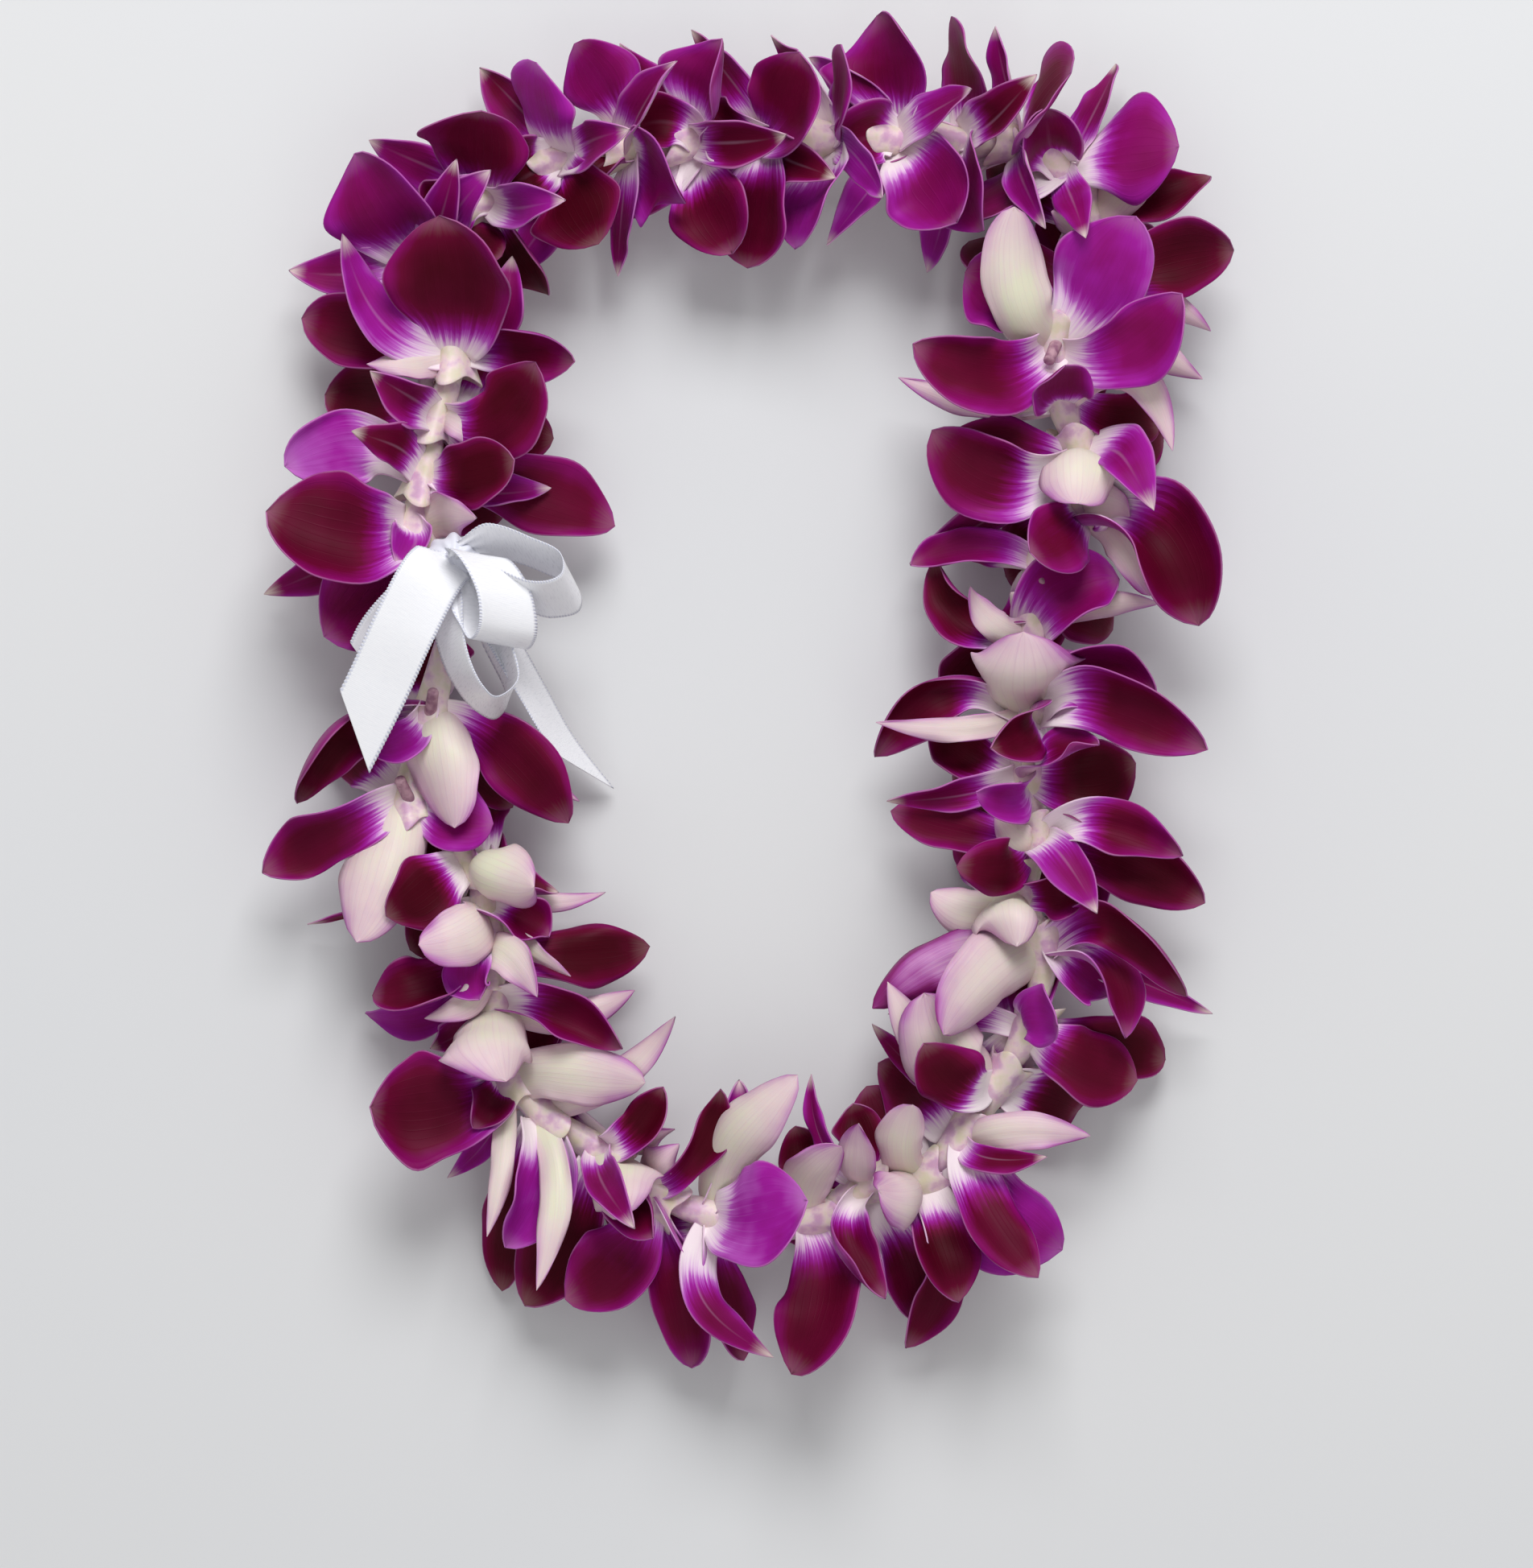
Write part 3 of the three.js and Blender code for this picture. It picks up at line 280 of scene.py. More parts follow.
def new_piece(name, mesh_builder, materials, slot, *nodes):
    """The finished mesh as an object at the origin, riding on the lei and standing for its CAD nodes."""
    mesh = bpy.data.meshes.new(name)
    mesh_builder.to_mesh(mesh)
    mesh_builder.free()
    for material in materials:
        mesh.materials.append(material)
    mesh.polygons.foreach_set("use_smooth", [True] * len(mesh.polygons))
    piece = bpy.data.objects.new(name, mesh)
    bpy.context.scene.collection.objects.link(piece)
    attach(piece, "root")
    if nodes:
        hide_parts(*nodes)
    return piece


def thicken(piece, thickness, slots_to_back=0):
    """A wall of that thickness in mm about the mesh. Its back takes the finish that many slots further."""
    wall = piece.modifiers.new("thickness", "SOLIDIFY")
    wall.thickness = thickness * MM
    wall.offset = 0
    wall.material_offset = slots_to_back


def smooth(piece):
    rounding = piece.modifiers.new("smooth", "SUBSURF")
    rounding.levels = rounding.render_levels = 1


def add_strip(form, rows, looped):
    """One run of ribbon: a grid laid along its route, pleated where the knot gathers it."""
    middle = Route([row[:3] for row in rows])
    width = Route([heading(row[3], row[4]) for row in rows])
    uv = form.loops.layers.uv.verify()
    length = middle.length(steps=40)
    rings = round(RINGS_PER_MM * length)
    grid = bmesh.ops.create_grid(form, x_segments=12, y_segments=rings, size=0.5, calc_uvs=True)
    faces = {face for corner in grid["verts"] for face in corner.link_faces}
    flat_place = {corner: (corner.co.x + 0.5, corner.co.y + 0.5) for corner in grid["verts"]}
    for face in faces:
        for loop in face.loops:
            across, u = flat_place[loop.vert]
            reached = u if looped else u * (1 - TAIL_CUT * across)
            loop[uv].uv = (across * RIBBON_WIDTH * UV_PER_MM, reached * length * UV_PER_MM)
    for corner, (across, u) in flat_place.items():
        v = 2 * across - 1
        open_share = spread(u, looped)
        u = u if looped else u * (1 - TAIL_CUT * across)
        side = width.at(u).normalized()
        face_way = side.cross(middle.way(u)).normalized()
        half = 0.5 * RIBBON_WIDTH * (GATHERED_SHARE + (1 - GATHERED_SHARE) * open_share)
        on_edge = 1 if abs(v) > 0.99 else 0
        picot = PICOT_HEIGHT * on_edge * math.sin(u * length * 2 * math.pi / PICOT_PITCH)
        pleat = PLEAT_HEIGHT * (1 - open_share) * math.cos(PLEATS_ACROSS * math.pi * v)
        swell = SWELL_HEIGHT * open_share * math.sin(2.2 * math.pi * u + 1.1 * v) * (1 - 0.3 * v * v)
        spot = middle.at(u) + side * (half * v + (picot if v > 0 else -picot)) + face_way * (pleat + swell)
        corner.co = (spot + TO_FRAME) * MM


satin, satin_shader, start = finish_of("white_satin", {
    "Sheen Weight": 0.25, "Sheen Roughness": 0.3, "Specular IOR Level": 0.6,
})
place = start.node("ShaderNodeUVMap")
across_mm = place.axis(0) * (1 / UV_PER_MM)
along_mm = place.axis(1) * (1 / UV_PER_MM)
weft = (along_mm * (2 * math.pi / WEFT_PITCH)).sine()
streak = start.node(
    "ShaderNodeTexNoise", {"noise_dimensions": "2D"},
    {"Vector": start.node("ShaderNodeMapping", None, {0: place, "Scale": (30.0, 260.0, 1.0)}),
     "Scale": 1.0, "Detail": 3.0},
)
half_width = 0.5 * RIBBON_WIDTH
from_middle = abs(across_mm - half_width)
selvedge = from_middle.from_to(half_width - SELVEDGE_STARTS, half_width - SELVEDGE_FULL)
stitch = (along_mm * (2 * math.pi / PICOT_PITCH)).sine() * selvedge
white = streak.tint(hue(240, 241, 247), hue(249, 249, 252))
# The edge band and its stitched picots are real, but their blue-grey darkening is painted shade, the shade
# among the picot loops along both edges.
edge_picots_and_shade = selvedge * 0.45 + stitch * 0.4
put(satin_shader.inputs["Base Color"], edge_picots_and_shade.tint(white, hue(196, 199, 220)))
put(satin_shader.inputs["Roughness"], 0.22 + streak * 0.14 + selvedge * 0.25)
add_relief(satin_shader, 0.3, 0.00006, weft * 0.3 + streak * 0.5 + stitch * 1.6)

form = bmesh.new()
ribbon_length = 0.0
for name, rows in RIBBON_RUNS.items():
    add_strip(form, rows, name.endswith("loop"))
    ribbon_length += Route([row[:3] for row in rows]).length(steps=60)
ribbon = new_piece("satin_ribbon", form, [satin], "ribbon", "ribbon_bow")
thicken(ribbon, SATIN_THICKNESS)

# Knot of the bow
# The same ribbon drawn tight into a small folded pad over the thread. Its folds run out toward the loops
# and the tails. The turn of ribbon under it, round the thread, is hidden from above and has no mesh here.
KNOT_CENTRE = Vector((-87, 41, 38))
KNOT_RADIUS = 8.0
KNOT_TIGHTNESS = 0.97
KNOT_DEPTH, KNOT_HEIGHT = 0.95, 0.92
KNOT_GIRTH = 40
NINE_FOLDS, FIVE_FOLDS = 0.07, 0.05
TUCK_DEPTH, TUCK_WIDTH = 0.16, 0.16


def add_knot(form):
    """A ball with two sets of folds round it, and a tuck aslant over its top."""
    ball = bmesh.ops.create_uvsphere(form, u_segments=72, v_segments=40, radius=1.0, calc_uvs=True)
    uv = form.loops.layers.uv.verify()
    for corner in ball["verts"]:
        way = corner.co.normalized()
        round_it = math.atan2(way.y, way.x)
        fold = NINE_FOLDS * math.sin(9 * round_it + 3 * way.z)
        fold += FIVE_FOLDS * math.sin(5 * round_it - 2.2 * way.z + 1)
        from_tuck = (way.x * 0.8 + way.y * 0.5) / TUCK_WIDTH
        tuck = 1 - TUCK_DEPTH * math.exp(-from_tuck ** 2) * max(0.0, way.z)
        size = KNOT_RADIUS * (1 + fold * (1 - way.z ** 4)) * tuck * KNOT_TIGHTNESS
        flattened = Vector((way.x, way.y * KNOT_DEPTH, way.z * KNOT_HEIGHT))
        corner.co = (KNOT_CENTRE + flattened * size + TO_FRAME) * MM
    for face in form.faces:
        for loop in face.loops:
            round_it, up_it = loop[uv].uv
            loop[uv].uv = (round_it * (KNOT_GIRTH * UV_PER_MM), up_it * (RIBBON_WIDTH * UV_PER_MM))


form = bmesh.new()
add_knot(form)
knot = new_piece("bow_knot", form, [satin], "ribbon")

# Lei thread
# One cotton thread, strung with a long needle through the throat of every flower and tied in a closed loop.
# It shows only where two flowers stand apart, and it holds the whole lei together.
THREAD_RADIUS = 0.6
THREAD_SIDES = 10
KNOT_SEAT = Vector((-89, 36, 22))
ARCH_BLOOMS = 10
CORE_HALF_LENGTH = 6.2
RIBBON_AFTER = 5
UP = Vector((0, 0, 1))

# Where the thread passes through each flower's throat, from the upper left round to the upper right.
THROATS = [
    (-95, 132, 20), (-87, 103, 22), (-92, 85, 22), (-96, 67, 22), (-99, 52, 22), (-94, -3, 21),
    (-101, -29, 20), (-82, -48, 20), (-78, -62, 20), (-78, -77, 20), (-75, -92, 20), (-71, -113, 21),
    (-61, -123, 21), (-44, -135, 21), (-28, -148, 21), (-10, -154, 21), (18, -156, 21), (34, -146, 21),
    (51, -144, 21), (64, -131, 21), (75, -115, 21), (84, -99, 21), (89, -75, 21), (82, -58, 21),
    (87, -43, 21), (84, -23, 21), (85, -4, 22), (85, 21, 21), (88, 40, 21), (100, 55, 22), (99, 72, 22),
    (94, 89, 22), (92, 105, 24), (104, 122, 21), (102, 143, 20),
]

# Throats of the part of the loop behind the wearer's neck, which closes it.
ARCH_ROUTE = [(88, 164, 20), (62, 166, 20), (32, 167, 20), (0, 167, 20), (-32, 165, 20), (-64, 158, 20)]

strung = [*THROATS[:RIBBON_AFTER], KNOT_SEAT, *THROATS[RIBBON_AFTER:], *ARCH_ROUTE]
loop_route = Route(strung, closed=True)


class Seat:
    """A place on the thread, and the directions there: along it, sideways and over."""

    def __init__(self, share, number=0):
        self.number = number
        self.share = share
        self.point = loop_route.at(share)
        self.along = loop_route.way(share)
        self.side = UP.cross(self.along).normalized()
        self.over = self.along.cross(self.side)


knot_place = Seat(RIBBON_AFTER / len(strung))
blooms = [Seat((index if index < RIBBON_AFTER else index + 1) / len(strung), index + 1)
          for index in range(len(THROATS))]
arch_start = len(THROATS) / len(strung)
for step in range(1, ARCH_BLOOMS + 1):
    share = arch_start + (1 - arch_start) * step / (ARCH_BLOOMS + 1)
    blooms.append(Seat(share, len(THROATS) + step))

cotton, cotton_shader, start = finish_of("cotton_thread", {"Roughness": 0.85, "Sheen Weight": 0.2})
twist = start.node(
    "ShaderNodeTexWave", {"wave_type": "BANDS", "bands_direction": "DIAGONAL"},
    {"Vector": start.node("ShaderNodeTexCoord", output="Object"), "Scale": 900.0, "Distortion": 1.5},
)
put(cotton_shader.inputs["Base Color"], twist.tint(hue(214, 205, 188), hue(243, 238, 226)))
add_relief(cotton_shader, 0.5, 0.00008, twist)

seats = [*blooms[:RIBBON_AFTER], knot_place, *blooms[RIBBON_AFTER:]]
thread_points = []
for place, seat in enumerate(seats):
    seat.before = seats[place - 1]
    for end in (-1, 1):
        thread_points.append(seat.point + seat.along * (end * CORE_HALF_LENGTH) + TO_FRAME)
form = bmesh.new()
rings = []
for index, point in enumerate(thread_points):
    way = (thread_points[(index + 1) % len(thread_points)] - thread_points[index - 1]).normalized()
    side = UP.cross(way).normalized()
    turn = Matrix((side, way.cross(side), way)).transposed()
    circle = bmesh.ops.create_circle(form, segments=THREAD_SIDES, radius=THREAD_RADIUS * MM)["verts"]
    for corner in circle:
        corner.co = turn @ corner.co + point * MM
    rings.append(list({edge for corner in circle for edge in corner.link_edges}))
for ring, following in zip(rings, rings[1:] + rings[:1]):
    bmesh.ops.bridge_loops(form, edges=ring + following)
bmesh.ops.recalc_face_normals(form, faces=form.faces)
thread = new_piece("lei_cotton_thread", form, [cotton], "thread", "lei_thread")
smooth(thread)

# Flower throats
# The short fleshy tube in the middle of each orchid, with the column inside its open end and the ovary
# behind it. It is cream to greenish, and the needle went straight through it.
CORE_PROFILE = [
    (1.3, -8.4), (2.1, -8.8), (3.0, -7.6), (3.7, -5.6), (4.4, -2.8), (5.1, 0.4), (5.9, 3.6), (6.8, 6.6),
    (7.6, 8.8), (7.0, 8.9), (5.4, 6.6), (3.8, 4.4), (2.2, 3.2), (1.3, 3.0),
]
THROAT_OVERLAP = 3.0
LONGEST_THROAT = 24.0
# The tube opens between these heights from the seat, into three lobes that swell and reach forward.
OPENS_FROM, OPEN_AT = -5, 8
LOBE_SWELL = 0.16
LOBE_REACH = 1.6
COLUMN_HALVES = (1.5, 1.7, 3.2)
COLUMN_HEIGHT = 6.6
COLUMN_SET_BACK = 1.9
STUB_BLOOMS = (6, 7, 29, 33)
STUB_LENGTH = 10.0
STUB_RADIUS = 2.05
STUB_TAPER = 0.25
STUB_WAIST = 0.12


def draw(index, salt):
    """A fixed number from 0 to 1 for each pair."""
    wave = math.sin(index * 12.9898 + salt * 78.233) * 43758.5453
    return wave - math.floor(wave)


def turned_to(direction):
    return UP.rotation_difference(direction).to_matrix().to_4x4()


def add_throat(form, bloom):
    """The tube, spun from its profile. Its back end reaches along the thread to the flower before it."""
    gap = (bloom.point - bloom.before.point).length
    stretch = min(gap - THROAT_OVERLAP, LONGEST_THROAT) / -CORE_PROFILE[1][1]
    line = [form.verts.new((radius, 0, height)) for radius, height in CORE_PROFILE]
    edges = [form.edges.new(pair) for pair in zip(line, line[1:])]
    bmesh.ops.spin(
        form, geom=line + edges, cent=(0, 0, 0), axis=(0, 0, 1), angle=2 * math.pi, steps=30,
        use_merge=True,
    )
    share_per_mm = (bloom.share - bloom.before.share) % 1.0 / gap
    turn = turned_to(bloom.along).to_3x3()
    for corner in form.verts:
        angle = math.atan2(corner.co.y, corner.co.x)
        open_share = max(0.0, min(1.0, (corner.co.z - OPENS_FROM) / (OPEN_AT - OPENS_FROM)))
        lobe = math.sin(3 * angle + bloom.number)
        swell = 1 + (LOBE_SWELL * lobe + 0.05 * math.sin(7 * angle)) * open_share
        height = corner.co.z + LOBE_REACH * lobe * open_share ** 2
        if height < 0:
            height *= stretch
        middle = loop_route.at(bloom.share + height * share_per_mm) if height < 0 else (
            bloom.point + bloom.along * height)
        flat = turn @ Vector((corner.co.x * swell, corner.co.y * swell, 0))
        corner.co = (middle + flat + TO_FRAME) * MM


def add_column(form, bloom):
    """The column: a stout finger with a rounded cap, curved over the open end."""
    made = bmesh.ops.create_uvsphere(form, u_segments=12, v_segments=10, radius=1.0)["verts"]
    thick, wide, tall = COLUMN_HALVES
    for corner in made:
        lift = corner.co.z
        bent = 0.5 * lift * lift - COLUMN_SET_BACK
        corner.co = Vector((corner.co.x * thick + bent, corner.co.y * wide, lift * tall + COLUMN_HEIGHT))
    spin_round = Quaternion(bloom.along, 2 * math.pi * draw(bloom.number, 95)).to_matrix().to_4x4()
    bmesh.ops.transform(
        form, verts=made, matrix=(
            Matrix.Translation((bloom.point + TO_FRAME) * MM) @ spin_round @ turned_to(bloom.along)
            @ Matrix.Scale(MM, 4)
        ),
    )


def add_stub(form, bloom):
    """The cut stalk that the flower was picked with, a little thinner at half its length."""
    lean = 0.8 * (draw(bloom.number, 91) - 0.5)
    direction = (-0.75 * bloom.along + 0.7 * bloom.over + lean * bloom.side).normalized()
    made = bmesh.ops.create_uvsphere(form, u_segments=16, v_segments=14, radius=1.0)["verts"]
    middle = bloom.point + bloom.over * 4.4 + direction * 3
    for corner in made:
        height = corner.co.z
        flat = math.hypot(corner.co.x, corner.co.y)
        radius = (STUB_RADIUS - STUB_TAPER * height) * (1 - STUB_WAIST * (1 - height * height))
        radius *= min(1.0, 1.9 * flat)
        way = Vector((corner.co.x, corner.co.y, 0)).normalized() if flat > 1e-6 else Vector((0, 0, 0))
        corner.co = way * radius + UP * (0.5 * STUB_LENGTH * math.copysign(abs(height) ** 0.55, height))
    shift = Matrix.Translation((middle + TO_FRAME) * MM)
    bmesh.ops.transform(form, matrix=shift @ turned_to(direction) @ Matrix.Scale(MM, 4), verts=made)
    return made


flesh, flesh_shader, start = finish_of("throat_flesh", {
    "Roughness": 0.42, "Subsurface Weight": 0.15, "Subsurface Scale": 0.002, "Specular IOR Level": 0.45,
})
spot = start.node("ShaderNodeTexCoord", output="Object")
cloud = spot.noise(160.0, 4.0)
grain = spot.noise(1400.0, 2.0)
cream = cloud.from_to(0.3, 0.55).tint(hue(212, 204, 178), hue(230, 210, 208))
lilac_share = cloud.from_to(0.46, 0.66) * 0.8
put(flesh_shader.inputs["Base Color"], lilac_share.tint(cream, hue(196, 146, 188)))
add_relief(flesh_shader, 0.3, 0.00012, grain)

stalk, stalk_shader, start = finish_of("cut_stalk", {"Roughness": 0.6, "Specular IOR Level": 0.3})
cloud = start.node("ShaderNodeTexCoord", output="Object").noise(420.0, 4.0)
put(stalk_shader.inputs["Base Color"], cloud.from_to(0.3, 0.7).tint(hue(138, 96, 118), hue(186, 150, 160)))
add_relief(stalk_shader, 0.4, 0.0002, cloud)

for bloom in blooms:
    form = bmesh.new()
    add_throat(form, bloom)
    add_column(form, bloom)
    bmesh.ops.recalc_face_normals(form, faces=form.faces)
    if bloom.number in STUB_BLOOMS:
        stub = add_stub(form, bloom)
        for face in {face for corner in stub for face in corner.link_faces}:
            face.material_index = 1
    throat = new_piece(f"bloom_{bloom.number:02d}_throat", form, [flesh, stalk], "petals")
    smooth(throat)

# Tepals
# The coloured leaves of each orchid: two broad petals, three narrower sepals and the lip, all thin and
# fleshy and grown from the throat. Their inner faces are deep purple and their backs pale and veined.
#
# Each kind's usual width in mm, width of the root as a share of it, where it is widest, how full the
# outline is, how far its halves fold up from the midrib in degrees, by how much that varies, how much the
# edges wave in mm, and its first finish. A fin is a petal folded along its middle, and a hood or a cup
# shows the back.
KIND_VALUES = ("width", "claw", "peak", "full", "fold", "uneven", "wave", "finish")
KINDS = {name: dict(zip(KIND_VALUES, values)) for name, *values in (
    ("petal", 30, 0.24, 1.4, 0.66, 12, 24, 2.2, 0),
    ("fin", 17, 0.36, 1.2, 0.68, 38, 28, 3, 0),
    ("sepal", 14, 0.46, 0.9, 0.85, 18, 20, 0.9, 2),
    ("hood", 20, 0.5, 1.15, 0.55, 26, 14, 0.7, 2),
    ("cup", 20, 0.5, 1.1, 0.5, 44, 12, 0.3, 2),
    ("lip", 18, 0.4, 1.4, 0.65, 34, 16, 2.2, 4),
    ("under", 23, 0.36, 1.15, 0.7, 12, 18, 1.2, 0),
    ("curl", 10, 0.5, 1, 0.8, 48, 20, 0.9, 2),
)}
WIDTH_MARGIN = 1.08
TWIST_SPREAD = 70
BOW_SPREAD = 4.6
FLICK_SPREAD = 8
SWAY_SPREAD = 7
SKEW_SPREAD = 0.42
ROLL_SPREAD = 4.4
TIP_CURL_SPREAD = 4.8
PALE_SPREAD = 0.24
WAVES_ALONG = 1.2
WAVE_SLANT = 1.9
FOLD_AT_ROOT, FOLD_LOST = 1.15, 0.45
SET_ACROSS = 0.9
ROOT_DISTANCE = 2.4
FLOOR_LEVEL = 1.0
REST_LEVEL = -1.2
FLOOR_SOFTNESS = 1.5
REST_EVERY = 6
TEPALS_PER_BLOOM = 6
TEPAL_THICKNESS = 0.45
LOWEST = 0.25
# Where along a blade its rim is set against the solid that it stands for. A point at or under the table is
# passed over, because the solid is cut off there.
RIM_CHECKS = {
    "petal": (0.5, 0.72, 0.89), "under": (0.38, 0.74), "lip": (0.38, 0.74), "curl": (0.38, 0.74),
}
USUAL_CHECKS = (0.6, 0.84)
CUT_OFF_UNDER = 0.05
CLOSE_ENOUGH = 0.12
FEWEST_CORNERS = 3

# Tepals that lie close against another of their own flower, as (flower, place in its list), and so have no
# frill, roll or curl.
LYING_CLOSE = {(5, 2), (19, 2), (19, 3), (25, 2), (25, 4)}

